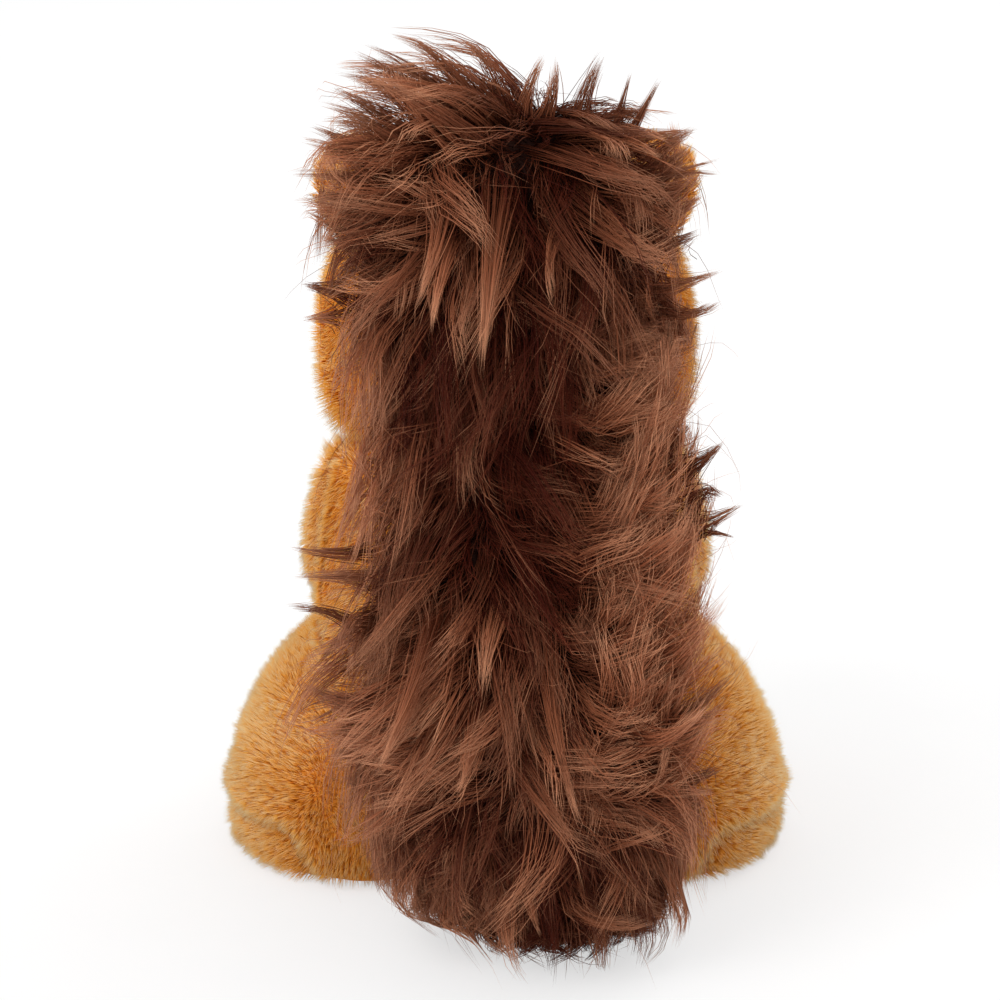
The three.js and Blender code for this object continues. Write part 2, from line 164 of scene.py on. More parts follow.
def backingFinish(name, deep, pale, weave):
    # knitted backing under the pile: patchy tone, fine loops in relief
    finish = Finish(name, Specular_IOR_Level=0.1)
    place = finish.place()
    patch = finish.noise(place, 90.0, 3.0)
    loops = finish.noise(place, weave, 2.0, 0.6)
    colour = finish.mix(patch * 0.6 + loops * 0.4, linear(*deep), linear(*pale))
    relief = finish.relief(loops, 0.6, 0.8 * mm)
    return finish.use(Base_Color=colour, Roughness=0.8 + 0.15 * loops, Normal=relief)


def plasticFinish(name, rim, middle, roughness):
    # moulded stud: tone by the way from back to front of the dome, faint handling marks
    finish = Finish(name, Coat_Weight=0.2, Coat_Roughness=0.05, Specular_IOR_Level=0.25)
    marks = finish.noise(finish.place(), 700.0, 3.0)
    stops = [(0.0, rim), (0.45, rim), (0.62, middle), (0.72, rim), (1.0, rim)]
    colour = finish.ramp(finish.strandMap()[1], [(place, linear(*colour)) for place, colour in stops])
    return finish.use(Base_Color=colour, Roughness=roughness + 0.06 * marks)


def threadFinish(name, deep, pale):
    # twisted thread: slanting plies from the way round and the way along
    finish = Finish(name, Sheen_Weight=0.2)
    across, along = finish.strandMap()
    ply = finish.node("ShaderNodeMath", {"operation": "SINE"}, {0: (across * 2.0 + along * 30.0) * tau})
    colour = finish.mix(ply * 0.5 + 0.5, linear(*deep), linear(*pale))
    return finish.use(Base_Color=colour, Roughness=0.6 + 0.1 * ply, Normal=finish.relief(ply, 0.7, 0.3 * mm))


def washerFinish(name, deep, pale):
    # moulded white plastic: cloudy tone and shine
    finish = Finish(name)
    cloud = finish.noise(finish.place(), 400.0)
    colour = finish.mix(cloud, linear(*deep), linear(*pale))
    return finish.use(Base_Color=colour, Roughness=0.35 + 0.2 * cloud)


goldPile = strandFinish("golden_pile", [(196, 98, 6), (234, 146, 32), (252, 204, 112)],
                        [(218, 126, 20), (252, 186, 86), (255, 243, 206)], 0.65, 0.06)
creamPile = strandFinish("cream_pile", [(222, 190, 142), (240, 216, 174), (248, 234, 204)],
                         [(230, 200, 154), (248, 230, 194), (255, 250, 234)], 0.65, 0.06)
liningPile = strandFinish("lining_pile", [(196, 146, 106), (212, 166, 126), (226, 186, 150)],
                          [(206, 158, 118), (226, 184, 146), (240, 210, 178)], 0.65, 0.12)
tailHair = strandFinish("tail_hair", [(36, 5, 2), (59, 13, 5), (93, 37, 20)],
                        [(88, 37, 20), (166, 100, 69), (226, 164, 126)], 0.5, 0.06)
goldBacking = backingFinish("golden_backing", (202, 116, 26), (228, 150, 58), 900.0)
creamBacking = backingFinish("cream_backing", (214, 182, 134), (236, 210, 166), 900.0)
liningBacking = backingFinish("lining_backing", (186, 138, 100), (206, 162, 124), 1100.0)
tailBacking = backingFinish("tail_backing", (26, 10, 7), (48, 24, 17), 700.0)
goldCloth = dict(hair=goldPile, backing=goldBacking, slot="golden_plush")
creamCloth = dict(hair=creamPile, backing=creamBacking, slot="cream_plush")
liningCloth = dict(hair=liningPile, backing=liningBacking, slot="ear_lining")
eyePlastic = plasticFinish("eye_plastic", (8, 6, 5), (52, 26, 12), 0.06)
nosePlastic = plasticFinish("nose_plastic", (16, 11, 9), (26, 18, 15), 0.22)
mouthThread = threadFinish("mouth_thread", (34, 20, 14), (74, 46, 32))
washerPlastic = washerFinish("washer_plastic", (222, 222, 216), (238, 238, 232))
print("finishes ready")

# forms shared with the CAD, millimetres


def reachFor(distance, share, power):
    # widest level to pole, so that the form narrows to a share of its width at a distance
    return distance / (1 - share ** power) ** (1 / power)


eggForm = namedtuple("eggForm", "x y wide deep low widest high power", defaults=[2.4])
neckLevel = 118
torsoWidest, headWidest = 36, 143
torsoFlat, headFlat = 84 / 102, 0.77  # share of the width left where each is cut flat
torsoForm = eggForm(0, 0, 51, 47, torsoWidest - reachFor(torsoWidest, torsoFlat, 2.4), torsoWidest,
                    torsoWidest + reachFor(neckLevel - torsoWidest, torsoFlat, 2.4))
headForm = eggForm(0, -2, 50, 44, headWidest - reachFor(headWidest - neckLevel, headFlat, 2.4), headWidest,
                   190)


def heightShare(form, level, grow):  # height above or below the widest level, as a share of that half
    rise = level - form.widest
    half = np.where(rise < 0, form.widest - form.low, form.high - form.widest) + grow
    return np.abs(rise) / half


def eggMiddle(form):  # middle of the widest level
    return np.array([form.x, form.y, form.widest])


def eggRadius(points, form, grow=0.0):
    # 1 on the egg, less inside: power sum of the ellipse radius and the height share
    x, y, z = np.moveaxis(points, -1, 0)
    flat = np.hypot((x - form.x) / (form.wide + grow), (y - form.y) / (form.deep + grow))
    return (flat ** form.power + heightShare(form, z, grow) ** form.power) ** (1 / form.power)


def widthShare(form, level, grow=0.0):  # share of the full ellipse at a level
    rest = 1 - heightShare(form, np.asarray(level, float), grow) ** form.power
    return rest.clip(0) ** (1 / form.power)


def sideReach(form, y, z, grow):  # how far the egg goes sideways from its middle, at a depth and level
    rest = widthShare(form, z, grow) ** 2 - ((y - form.y) / (form.deep + grow)) ** 2
    return (form.wide + grow) * np.sqrt(rest.clip(0))


def depthReach(form, x, z, grow):  # how far the egg goes forward or back from its middle
    rest = widthShare(form, z, grow) ** 2 - ((x - form.x) / (form.wide + grow)) ** 2
    return (form.deep + grow) * np.sqrt(rest.clip(0))


def eggRows(form, inset=0.0, sides=72, rings=44):
    # rings of an egg from pole to pole: superellipse profile carried round an ellipse
    turn = np.linspace(-math.pi / 2, math.pi / 2, rings + 1)[:, None]
    rise = np.sign(turn) * np.abs(np.sin(turn)) ** (2 / form.power)
    wide = np.cos(turn).clip(0) ** (2 / form.power)
    half = np.where(rise < 0, form.widest - form.low, form.high - form.widest) - inset
    angle = np.arange(sides)[None, :] * tau / sides
    x = form.x + (form.wide - inset) * wide * np.cos(angle)
    y = form.y + (form.deep - inset) * wide * np.sin(angle)
    return np.stack([x, y, np.broadcast_to(form.widest + rise * half, x.shape)], 2)


def splineThrough(points, steps):
    # centripetal Catmull-Rom curve: cubic pieces whose knots are spaced by the root of the distance
    points = np.asarray(points, float)
    full = np.vstack([2 * points[:1] - points[1:2], points, 2 * points[-1:] - points[-2:-1]])
    place = np.asarray(steps, float) * (len(points) - 1)
    piece = np.clip(np.floor(place).astype(int), 0, len(points) - 2)
    t = (place - piece)[:, None]
    p0, p1, p2, p3 = (full[piece + k] for k in range(4))
    d0, d1, d2 = (np.maximum(np.linalg.norm(b - a, axis=1), 1e-6)[:, None] ** 0.5
                  for a, b in ((p0, p1), (p1, p2), (p2, p3)))
    m1 = ((p1 - p0) / d0 - (p2 - p0) / (d0 + d1) + (p2 - p1) / d1) * d1
    m2 = ((p2 - p1) / d1 - (p3 - p1) / (d1 + d2) + (p3 - p2) / d2) * d1
    return (p1 + m1 * t + (3 * p2 - 3 * p1 - 2 * m1 - m2) * t ** 2 + (2 * p1 - 2 * p2 + m1 + m2) * t ** 3)


def between(values, start, end):  # 0 up to the start, 1 from the end on, straight in between
    return np.clip((values - start) / (end - start), 0, 1)


def hump(values, middle, reach):  # bell curve, 1 at its middle
    return np.exp(-((values - middle) / reach) ** 2)


def unit(vectors):  # the same directions, one long
    return vectors / np.maximum(np.linalg.norm(vectors, axis=-1, keepdims=True), 1e-9)


def sweepRows(path, sizes, startCap, endCap, sides=64, steps=80, inset=0.0):
    # ellipses carried along a curve, rounded off at both ends by half ellipsoids
    t = np.linspace(0, 1, steps + 1)
    capRings = 11
    turn = np.linspace(0, math.pi / 2, capRings + 1)[1:]
    middle = splineThrough(path, t)
    ahead = unit(np.gradient(middle, axis=0))
    size = splineThrough(sizes, t) - inset
    middle = np.vstack([middle[:1] - ahead[:1] * (startCap - inset) * np.sin(turn[::-1, None]), middle,
                        middle[-1:] + ahead[-1:] * (endCap - inset) * np.sin(turn[:, None])])
    size = np.vstack([size[:1] * np.cos(turn[::-1, None]), size, size[-1:] * np.cos(turn[:, None])])
    ahead = np.vstack([np.repeat(ahead[:1], capRings, 0), ahead, np.repeat(ahead[-1:], capRings, 0)])
    across = np.array([[1.0, 0, 0]])
    across = unit(across - ahead * (ahead @ across.T))
    deep = np.cross(ahead, across)
    angle = np.arange(sides) * tau / sides
    return (middle[:, None] + across[:, None] * (size[:, :1] * np.cos(angle))[..., None]
            + deep[:, None] * (size[:, 1:2] * np.sin(angle))[..., None])


def ladder(low, sides):
    # walls between rings: two triangles for each step round a ring, numbered from the ring's first corner
    column = np.arange(sides)
    after = (column + 1) % sides
    a, b, c, d = low + column, low + after, low + sides + after, low + sides + column
    return np.concatenate([np.stack([a, b, c], -1).reshape(-1, 3), np.stack([a, c, d], -1).reshape(-1, 3)])


def closed(rows):
    # skin of stacked rings whose first and last ring are points: corner list and outward triangles
    rings, sides, _ = rows.shape
    points = np.vstack([rows[0].mean(0)[None], rows[1:-1].reshape(-1, 3), rows[-1].mean(0)[None]])
    column = np.arange(sides)
    after = (column + 1) % sides
    last = len(points) - 1
    walls = ladder(1 + (np.arange(rings - 3) * sides)[:, None], sides)
    foot = np.stack([np.zeros(sides, int), 1 + after, 1 + column], 1)
    top = np.stack([np.full(sides, last), last - sides + column, last - sides + after], 1)
    faces = np.concatenate([foot, walls, top])
    one, two, three = (points[faces[:, k]] for k in range(3))
    if np.einsum("ij,ij->", one, np.cross(two, three)) < 0:
        faces = faces[:, ::-1]
    return points, faces


def piece(name, points, faces, finish, maps=None):  # a mesh object in metres at the origin
    mesh = bpy.data.meshes.new(name)
    mesh.vertices.add(len(points))
    mesh.vertices.foreach_set("co", (points * mm).astype(np.float32).ravel())
    mesh.loops.add(faces.size)
    mesh.loops.foreach_set("vertex_index", faces.astype(np.int32).ravel())
    mesh.polygons.add(len(faces))
    mesh.polygons.foreach_set("loop_start", np.arange(0, faces.size, faces.shape[1], dtype=np.int32))
    mesh.polygons.foreach_set("use_smooth", np.ones(len(faces), bool))
    if maps is not None:
        layer = mesh.uv_layers.new(name="OFBake")
        layer.data.foreach_set("uv", maps.astype(np.float32).ravel())
    mesh.update()
    mesh.validate()
    mesh.materials.append(finish)
    obj = bpy.data.objects.new(name, mesh)
    bpy.context.scene.collection.objects.link(obj)
    return obj


def padRows(x, y, wide, deep, top, flat, rim, sides):
    # thin oval pad: two flats out to a share of its size, joined by a rounded edge
    low, rings, bulge = 0.2, 8, 0.03
    edge = np.linspace(-math.pi / 2, math.pi / 2, rings + 1)
    share = [np.linspace(0, flat, rings), rim + bulge * np.cos(edge), np.linspace(flat, 0, rings)]
    level = [np.full(rings, low), (top + low) / 2 + (top - low) / 2 * np.sin(edge), np.full(rings, top)]
    share, level = np.concatenate(share)[:, None], np.concatenate(level)[:, None]
    angle = np.arange(sides)[None] * tau / sides
    across, along = wide * share * np.cos(angle), deep * share * np.sin(angle)
    return np.stack([x + across, y + along, level + 0 * angle], 2)


# hair

pileSettings = dict(most=45000, sunk=0.3, bend=0.14, jitter=0.1, toneSize=30, toneWander=0.22, tuftTone=0.12,
                    hairTone=0.18)  # the same on every short pile


def drift(points, size, seed, waves=7):
    # smooth wandering: sine waves of random direction and length, each pushing its own way
    dice = np.random.default_rng(seed)
    wave = unit(dice.normal(size=(waves, 3))) * tau / size * dice.uniform(0.6, 1.4, (waves, 1))
    push = unit(dice.normal(size=(waves, 3)))
    return np.sin(points @ wave.T + dice.uniform(0, tau, waves)) @ push * 1.4 / math.sqrt(waves)


def rootsOn(points, faces, density, dice):
    # roots spread by area: each triangle gets its share, at random places with the blended normal
    corner = points[faces]
    face = np.cross(corner[:, 1] - corner[:, 0], corner[:, 2] - corner[:, 0])
    area = np.linalg.norm(face, axis=1) / 2
    normal = np.stack([sum(np.bincount(faces[:, k], face[:, axis], len(points)) for k in range(3))
                       for axis in range(3)], 1)
    count = np.floor(area * density + dice.random(len(area))).astype(int)
    pick = np.repeat(np.arange(len(area)), count)
    side, cross = np.sqrt(dice.random(len(pick))), dice.random(len(pick))
    share = np.stack([1 - side, side * (1 - cross), side * cross], 1)[..., None]
    return (corner[pick] * share).sum(1), unit((unit(normal)[faces[pick]] * share).sum(1))


def locksOf(points, size, seed):
    # locks: roots that share a cell of a cubic grid bent by drift, with the number of roots in each
    bent = points / size + drift(points, 3 * size, seed) * 0.5
    cell = np.floor(bent + 0.37).astype(np.int64) + 512
    _, lock = np.unique(cell @ np.array([1, 4096, 4096 ** 2]), return_inverse=True)
    lock = lock.ravel()
    return lock, np.bincount(lock)


def lockMean(values, lock, count):  # mean of the hairs of each lock
    return np.stack([np.bincount(lock, values[:, axis]) / count for axis in range(values.shape[1])], 1)


def strands(name, spines, widths, tones, finish, seed):
    # three-sided hairs: rings of three corners along each spine, narrowing to one point at the tip
    number, steps, _ = spines.shape
    dice = np.random.default_rng(seed)
    ahead = unit(np.gradient(spines, axis=1))[:, :-1]
    side = unit(np.cross(ahead, unit(dice.normal(size=(number, 1, 3)))))
    deep = np.cross(ahead, side)
    along = np.linspace(0, 1, steps)
    radius = widths[:, None] / 2 * (1 - 0.7 * along[:-1] ** 1.5)
    angle = np.arange(3) * tau / 3
    ring = (side[:, :, None] * np.cos(angle)[:, None] + deep[:, :, None] * np.sin(angle)[:, None])
    ring = spines[:, :-1, None] + ring * radius[..., None, None]
    points = np.concatenate([ring.reshape(number, -1, 3), spines[:, -1:]], 1)
    each = points.shape[1]
    corner = np.arange(3)
    after = (corner + 1) % 3
    walls = ladder(3 * np.arange(steps - 2)[:, None], 3)
    tip = np.stack([each - 4 + corner, each - 4 + after, np.full(3, each - 1)], 1)
    shape = np.concatenate([[[0, 2, 1]], walls, tip]).astype(np.int64)
    faces = (np.arange(number)[:, None, None] * each + shape).reshape(-1, 3)
    spot = np.concatenate([np.repeat(along[:-1], 3), [1.0]])
    across = np.concatenate([np.tile(corner, steps - 1), [1]]) * 0.008
    maps = np.empty((number, len(shape), 3, 2))
    maps[..., 0] = (0.01 + 0.97 * tones.clip(0, 1))[:, None, None] + across[shape]
    maps[..., 1] = (0.005 + 0.985 * spot)[shape]
    return piece(name, points.reshape(-1, 3), faces, finish, maps)


def shares(where, most):  # the same hairs in as many even parts as the limit asks for
    parts = math.ceil(len(where) / most)
    return [where[part * len(where) // parts:(part + 1) * len(where) // parts] for part in range(parts)]


def pile(name, skin, settings, flow, blocked, cloth, rides, paintedShading=None, upright=None, longer=None):
    # short pile: straight hairs leaning along the flow, their tips drawn together in tufts
    dice = np.random.default_rng(settings["seed"])
    roots, normals = rootsOn(*skin, settings["density"], dice)
    free = ~blocked(roots + normals * pileSettings["sunk"])
    roots, normals = roots[free], normals[free]
    lay = unit(flow(roots)) + drift(roots, settings["swirlSize"], settings["seed"]) * settings["swirl"]
    lay = lay + drift(roots, settings["swirlSize"] / 3.5, settings["seed"] + 1) * settings["swirl"] * 0.6
    lay = unit(lay - normals * np.einsum("ij,ij->i", lay, normals)[:, None])
    lock, count = locksOf(roots, settings["tuft"], settings["seed"] + 2)
    bend, sunk = pileSettings["bend"], pileSettings["sunk"]
    lean = math.radians(settings["lean"]) + dice.normal(0, bend, len(count))[lock]
    lean = lean + dice.normal(0, bend, len(roots))
    lean = lean * (upright(roots) if upright else 1)
    length = settings["length"] * dice.uniform(0.8, 1.15, len(count))[lock]
    length = length * dice.uniform(0.8, 1.1, len(roots))
    length = length * (longer(roots) if longer else 1)
    ahead = normals * np.cos(lean)[:, None] + lay * np.sin(lean)[:, None]
    ahead = ahead + dice.normal(0, pileSettings["jitter"], roots.shape)
    tips = roots + ahead * length[:, None]
    tips = tips + (lockMean(tips, lock, count)[lock] - tips) * settings["draw"]
    flat = tips - normals * (np.einsum("ij,ij->i", tips - roots, normals) - sunk)[:, None]
    tips = np.where(blocked(tips)[:, None], flat, tips)  # pressed flat under a neighbour
    clear = ~blocked(tips) & (tips[:, 2] > sunk)
    roots, tips, lock = roots[clear], tips[clear], lock[clear]
    wander = drift(roots, pileSettings["toneSize"], settings["seed"] + 3)[:, 0]
    tone = 0.5 + wander * pileSettings["toneWander"]
    tone = tone + dice.normal(0, pileSettings["tuftTone"], len(count))[lock]
    tone = tone + dice.normal(0, pileSettings["hairTone"], len(roots))
    # painted light and shade, where the part gives any
    tone = tone + (paintedShading(roots) * 0.5 if paintedShading else 0)
    width = settings["width"] * dice.uniform(0.75, 1.2, len(roots))
    spines = np.stack([roots - unit(tips - roots) * sunk, tips], 1)
    parts = shares(np.arange(len(spines)), pileSettings["most"])
    for part, take in enumerate(parts):
        label = name if len(parts) == 1 else f"{name}_{part + 1}"
        hair = strands(label, spines[take], width[take], tone[take], cloth["hair"], settings["seed"] + 9)
        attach(hair, rides)
    print(f"{name}: {len(spines)} hairs in {len(parts)}")


# stuffed cloth

swellSettings = dict(voxel=4.0, pressure=4.0, frames=20, most=2.4)


def corners(mesh):  # corner places in millimetres, and triangles
    places = np.empty(len(mesh.vertices) * 3, np.float32)
    mesh.vertices.foreach_get("co", places)
    mesh.calc_loop_triangles()
    faces = np.empty(len(mesh.loop_triangles) * 3, np.int32)
    mesh.loop_triangles.foreach_get("vertices", faces)
    return places.reshape(-1, 3).astype(float) / mm, faces.reshape(-1, 3)


def settled(obj):  # works the modifiers out and leaves their result as the mesh
    mesh = bpy.data.meshes.new_from_object(obj.evaluated_get(bpy.context.evaluated_depsgraph_get()))
    obj.modifiers.clear()
    obj.data = mesh
    return mesh


def plump(name, skin, voxel):
    # stuffed cloth: an even mesh swelled by inner pressure in a cloth simulation, every move cut at a cap,
    # then rounded by one subdivision
    obj = piece(f"{name}_cloth", *skin, goldBacking)
    even = obj.modifiers.new("even", "REMESH")
    even.mode, even.voxel_size = "VOXEL", voxel * mm
    before = corners(settled(obj))[0]
    cloth = obj.modifiers.new("cloth", "CLOTH")
    cloth.settings.use_pressure = True
    cloth.settings.uniform_pressure_force = swellSettings["pressure"]
    cloth.settings.effector_weights.gravity = 0
    cloth.point_cache.frame_start, cloth.point_cache.frame_end = 1, swellSettings["frames"]
    for moment in range(1, swellSettings["frames"] + 1):
        bpy.context.scene.frame_set(moment)
    move = corners(settled(obj))[0] - before
    far = np.linalg.norm(move, axis=1, keepdims=True).clip(1e-6)
    after = before + move * np.minimum(1, swellSettings["most"] / far)
    obj.data.vertices.foreach_set("co", (after * mm).astype(np.float32).ravel())
    bpy.context.scene.frame_set(1)
    smooth = obj.modifiers.new("smooth", "SUBSURF")
    smooth.levels = smooth.render_levels = 1
    skin = corners(settled(obj))
    bpy.data.objects.remove(obj)
    print(f"{name}: cloth moved {far.mean():.2f} mm, at most {far.max():.2f}")
    return skin


def within(points, form):  # brings what stands outside an egg back onto it
    middle = eggMiddle(form)
    return middle + (points - middle) / np.maximum(eggRadius(points, form), 1)[:, None]


def inAny(points, tests):  # inside any of some eggs, each grown a little
    blocked = np.zeros(len(points), bool)
    for form, grow in tests:
        blocked |= eggRadius(points, form, grow) < 1
    return blocked


def padded(name, skin, cloth, rides, fill, *nodes, press=None, voxel=swellSettings["voxel"]):
    # a stuffed skin, standing for its CAD nodes: swelled cloth pressed against its neighbours
    if press:
        points, faces = plump(name, skin, voxel)
        skin = press(points), faces
    obj = piece(name, *skin, cloth["backing"])
    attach(obj, rides)
    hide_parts(*nodes)
    return skin


# torso

torsoSettings = dict(inset=0.8, floor=2.3, seed=11, density=2.3, length=4.0, width=0.26, lean=34, tuft=1.9,
                     draw=0.32, swirl=0.6, swirlSize=22)
bellySettings = dict(wide=32, tall=41, middle=59, proud=0.4, thick=1.2, seed=15, density=2.4, length=3.2,
                     width=0.36, lean=42, tuft=2.6, draw=0.4, swirl=0.4, swirlSize=24)
undersideSettings = dict(wide=41.4, deep=38.2, top=2.0, flat=0.94, rim=0.97)
sides = {"left": 1, "right": -1}


def haunchForm(side):  # its lowest part is cut off by the floor
    return eggForm(side * 38, -5, 38, 45, 12 - reachFor(12, 0.94, 1.75), 12, 67, 1.75)


def footForm(side):
    return eggForm(side * 49, -55, 16.5, 32, -9, 9, 25, 2.2)


def upperArmForm(side):
    return eggForm(side * 41.5, 0, 13, 16.5, 69, 82, 116, 1.9)


armSwing = (-8, 25)  # degrees


def armSide(points):
    # sideways reach of the torso seen from the arm through its whole swing about the shoulder
    y, z = points[..., 1], points[..., 2] - neckLevel
    reach = np.zeros(y.shape)
    for degrees in np.linspace(*armSwing, 5):
        turn = math.radians(degrees)
        depth, level = math.cos(turn) * y + math.sin(turn) * z, math.cos(turn) * z - math.sin(turn) * y
        reach = np.maximum(reach, sideReach(torsoForm, depth, level + neckLevel, 0.4))
    return reach


def armRoom(points, side):
    # how far the torso may fill out beside an arm: the least reach of the arm's inner face over its swing
    y, z = points[:, 1], points[:, 2] - neckLevel
    room = np.full(len(points), 99.0)
    for degrees in np.linspace(*armSwing, 7):
        turn = math.radians(degrees)
        depth, level = math.cos(turn) * y - math.sin(turn) * z, math.cos(turn) * z + math.sin(turn) * y
        place = np.stack([np.full(len(points), side * 44.0), depth, level + neckLevel], 1)
        met = eggRadius(place, upperArmForm(side), 1.0) < 1
        room = np.minimum(room, np.where(met, armSide(place), 99.0))
    return room


tailPath = [(0, 31, 31.35), (-10, 69, 23), (-5, 93, 62.7), (-5, 87, 107.5), (-5, 81, 152.3), (0, 85, 192.15),
            (0, 93, 212)]
tailShares = np.array([(0.6, 0.7), (0.84, 0.867), (1, 1), (0.95, 0.96), (0.93, 0.92), (0.98, 0.92),
                       (0.78, 0.8)])
tailSizes = tailShares * (44, 30) - (10, 8.5)  # the stuffed tube inside the pile
tailSizes[1] += (6, 5)  # the pile is flattened where it lies on the floor


def nearTail(points, grow):
    # inside the tail: distance from the nearest point of its middle line, against the section there
    line = splineThrough(tailPath, np.linspace(0, 1, 60))
    size = splineThrough(np.c_[tailSizes, tailSizes[:, :1] * 0], np.linspace(0, 1, 60))
    gapYz = points[:, None, 1:] - line[None, :, 1:]
    near = np.argmin((gapYz ** 2).sum(2), 1)
    away = np.linalg.norm(gapYz[np.arange(len(points)), near], axis=1)
    wide, deep = size[near, 0] + grow, size[near, 1] + grow
    return np.hypot((points[:, 0] - line[near, 0]) / wide, away / deep) < 1


def onBelly(points, grow=0.0):  # inside the oval of the belly panel, on the front
    x, y, z = points.T
    across = x / (bellySettings["wide"] + grow)
    return (np.hypot(across, (z - bellySettings["middle"]) / (bellySettings["tall"] + grow)) < 1) & (y < -12)


def makeTorso():
    def press(points):
        points = within(points, torsoForm)
        points[:, 2] = points[:, 2].clip(torsoSettings["floor"], neckLevel)
        x, y, z = points.T
        fade = between(y, 21, 15) * between(y, 1, 5) * between(z, 68, 74) * between(z, 116, 110)
        for side in sides.values():  # fills out behind each arm, so that no slit shows
            rise = (armRoom(points, side).clip(0, 50) - 0.5 - x * side).clip(0, 3.5) * fade
            x += np.where(x * side > 30, rise * side, 0)
        return points

    rows = eggRows(torsoForm, torsoSettings["inset"])
    rows[..., 2] = rows[..., 2].clip(torsoSettings["floor"], neckLevel)
    skin = padded("torso_skin", closed(rows), goldCloth, "torso", 0.8, "torso_cover", "torso_stuffing",
                  "pellet_bag", press=press)
    around = [(haunchForm(1), 0.6), (haunchForm(-1), 0.6), (headForm, 0.4)]

    def blocked(points):
        away = (points[:, 2] < torsoSettings["floor"] + 0.3) | (points[:, 2] > neckLevel + 4)
        for side in sides.values():  # an arm takes the room beyond its inner face
            away |= inAny(points, [(upperArmForm(side), 0.4)]) & (points[:, 0] * side > armSide(points) - 0.1)
        return inAny(points, around) | away | onBelly(points, -0.6) | nearTail(points, 0.5)

    def flow(points):  # hair hangs, and lies outward where an arm meets it
        x, y, z = points.T
        reach = between(np.abs(y), 20, 8) * between(z, 66, 74)
        neck = between(z, 108, 116)  # stands up round the neck
        return np.stack([x * 0.012 + np.sign(x) * reach * (1 - neck), y * 0.008, 2.4 * neck - 1], 1)

    pile("torso_pile", skin, torsoSettings, flow, blocked, goldCloth, "torso")

    # belly panel: an oval laid on the front of the torso, a thin lens with its edge tucked in
    rings, sunk = 26, 0.3
    share = np.concatenate([np.linspace(0, 1, rings), np.linspace(1, 0, rings)])[:, None]
    angle = np.arange(72)[None] * tau / 72
    x = bellySettings["wide"] * share * np.cos(angle)
    z = bellySettings["middle"] + bellySettings["tall"] * share * np.sin(angle)
    walls = np.repeat([bellySettings["proud"], -bellySettings["thick"]], rings)[:, None]  # front, then back
    rise = walls * (1 - share ** 8) - sunk
    belly = np.stack([x, -depthReach(torsoForm, x, z, 0) - rise, z], 2)
    bellySkin = padded("belly_skin", closed(belly), creamCloth, "torso", 0.5, "belly_panel")

    def hidden(points):
        x, y, z = points.T
        return ~onBelly(points, 0.4) | (y > -depthReach(torsoForm, x, z, -sunk))

    pile("belly_pile", bellySkin, bellySettings, flow, hidden, creamCloth, "torso")
    base = padRows(0, 0, **undersideSettings, sides=72)
    padded("underside_skin", closed(base), goldCloth, "torso", 0.2, "underside_panel")


makeTorso()

# haunches

haunchSettings = dict(inset=0.8, floor=0.4, seed=31, density=4.6, length=4.2, width=0.22, lean=34, tuft=1.9,
                      draw=0.34, swirl=0.5, swirlSize=20, whorl=(50, 36, 31), foldFrom=(38, -5, 20))
# sewn edge of the heel, from the side to the floor behind
ridgeLine = [(76, -4, 16), (73, 10, 16.5), (66, 22, 17), (58, 32, 17), (53, 37, 11), (50, 39, 2)]


def makeHaunch(name, side):
    form = haunchForm(side)
    mirror = (side, 1, 1)
    ridge = splineThrough(np.array(ridgeLine) * mirror, np.linspace(0, 1, 80))
    whorl, foldFrom = (np.array(haunchSettings[key]) * mirror for key in ("whorl", "foldFrom"))

    def toRidge(points):  # how far from the sewn edge, less than nothing under it
        away = np.linalg.norm(points[:, None] - ridge[None], axis=2)
        near = np.argmin(away, 1)
        return away.min(1) * np.where(points[:, 2] < ridge[near, 2], -1, 1)

    def press(points):  # stands up above the seam, dips under it, lies against torso and floor
        points = within(points, form)
        gap = toRidge(points)
        fold = 1.6 * hump(gap, 1.5, 3) - 2.4 * hump(gap, -3.5, 3)
        points = points + unit(points - foldFrom) * fold[:, None]
        points[:, 2] = points[:, 2].clip(haunchSettings["floor"])
        beside = sideReach(torsoForm, points[:, 1], points[:, 2], 0.3)
        points[:, 0] = np.maximum(points[:, 0] * side, beside) * side
        return points

    rows = eggRows(form, haunchSettings["inset"], 120, 72)
    rows[..., 2] = rows[..., 2].clip(haunchSettings["floor"])
    skin = padded(f"{name}_haunch_skin", closed(rows), goldCloth, "torso", 0.8, f"{name}_haunch_cover",
                  f"{name}_haunch_stuffing", press=press)
    around = [(torsoForm, 0.5), (footForm(side), 0.5)]

    def blocked(points):
        return inAny(points, around) | nearTail(points, 0.5)

    def flow(points):  # away from the whorl, and out and down under the sewn edge
        under = (toRidge(points) < -1.5)[:, None]
        return np.where(under, np.array([side * 0.8, 0.25, -0.7]), unit(points - whorl))

    def paintedShading(points):  # painted light and shade: paler outside where light catches the rim, a painted highlight along the sewn edge, painted shade under it
        gap = toRidge(points)
        outside = between(np.abs(points[:, 0]), 56, 72)
        return 1.2 * outside + 0.9 * hump(gap, 1, 2.6) - 0.5 * hump(gap, -4, 2.6)

    def upright(points):  # hair stands up in the middle of the whorl
        return np.interp(np.linalg.norm(points - whorl, axis=1), [1, 9], [0.1, 1])

    settings = dict(haunchSettings, seed=haunchSettings["seed"] + side)
    pile(f"{name}_haunch_pile", skin, settings, flow, blocked, goldCloth, "torso", paintedShading, upright)


for name, side in sides.items():
    makeHaunch(name, side)

# feet

footSettings = dict(inset=0.8, floor=2.1, seed=41, density=2.5, length=3.8, width=0.24, lean=40, tuft=1.9,
                    draw=0.32, swirl=0.4, swirlSize=22)
soleSettings = dict(top=1.8, flat=0.92, rim=0.96)


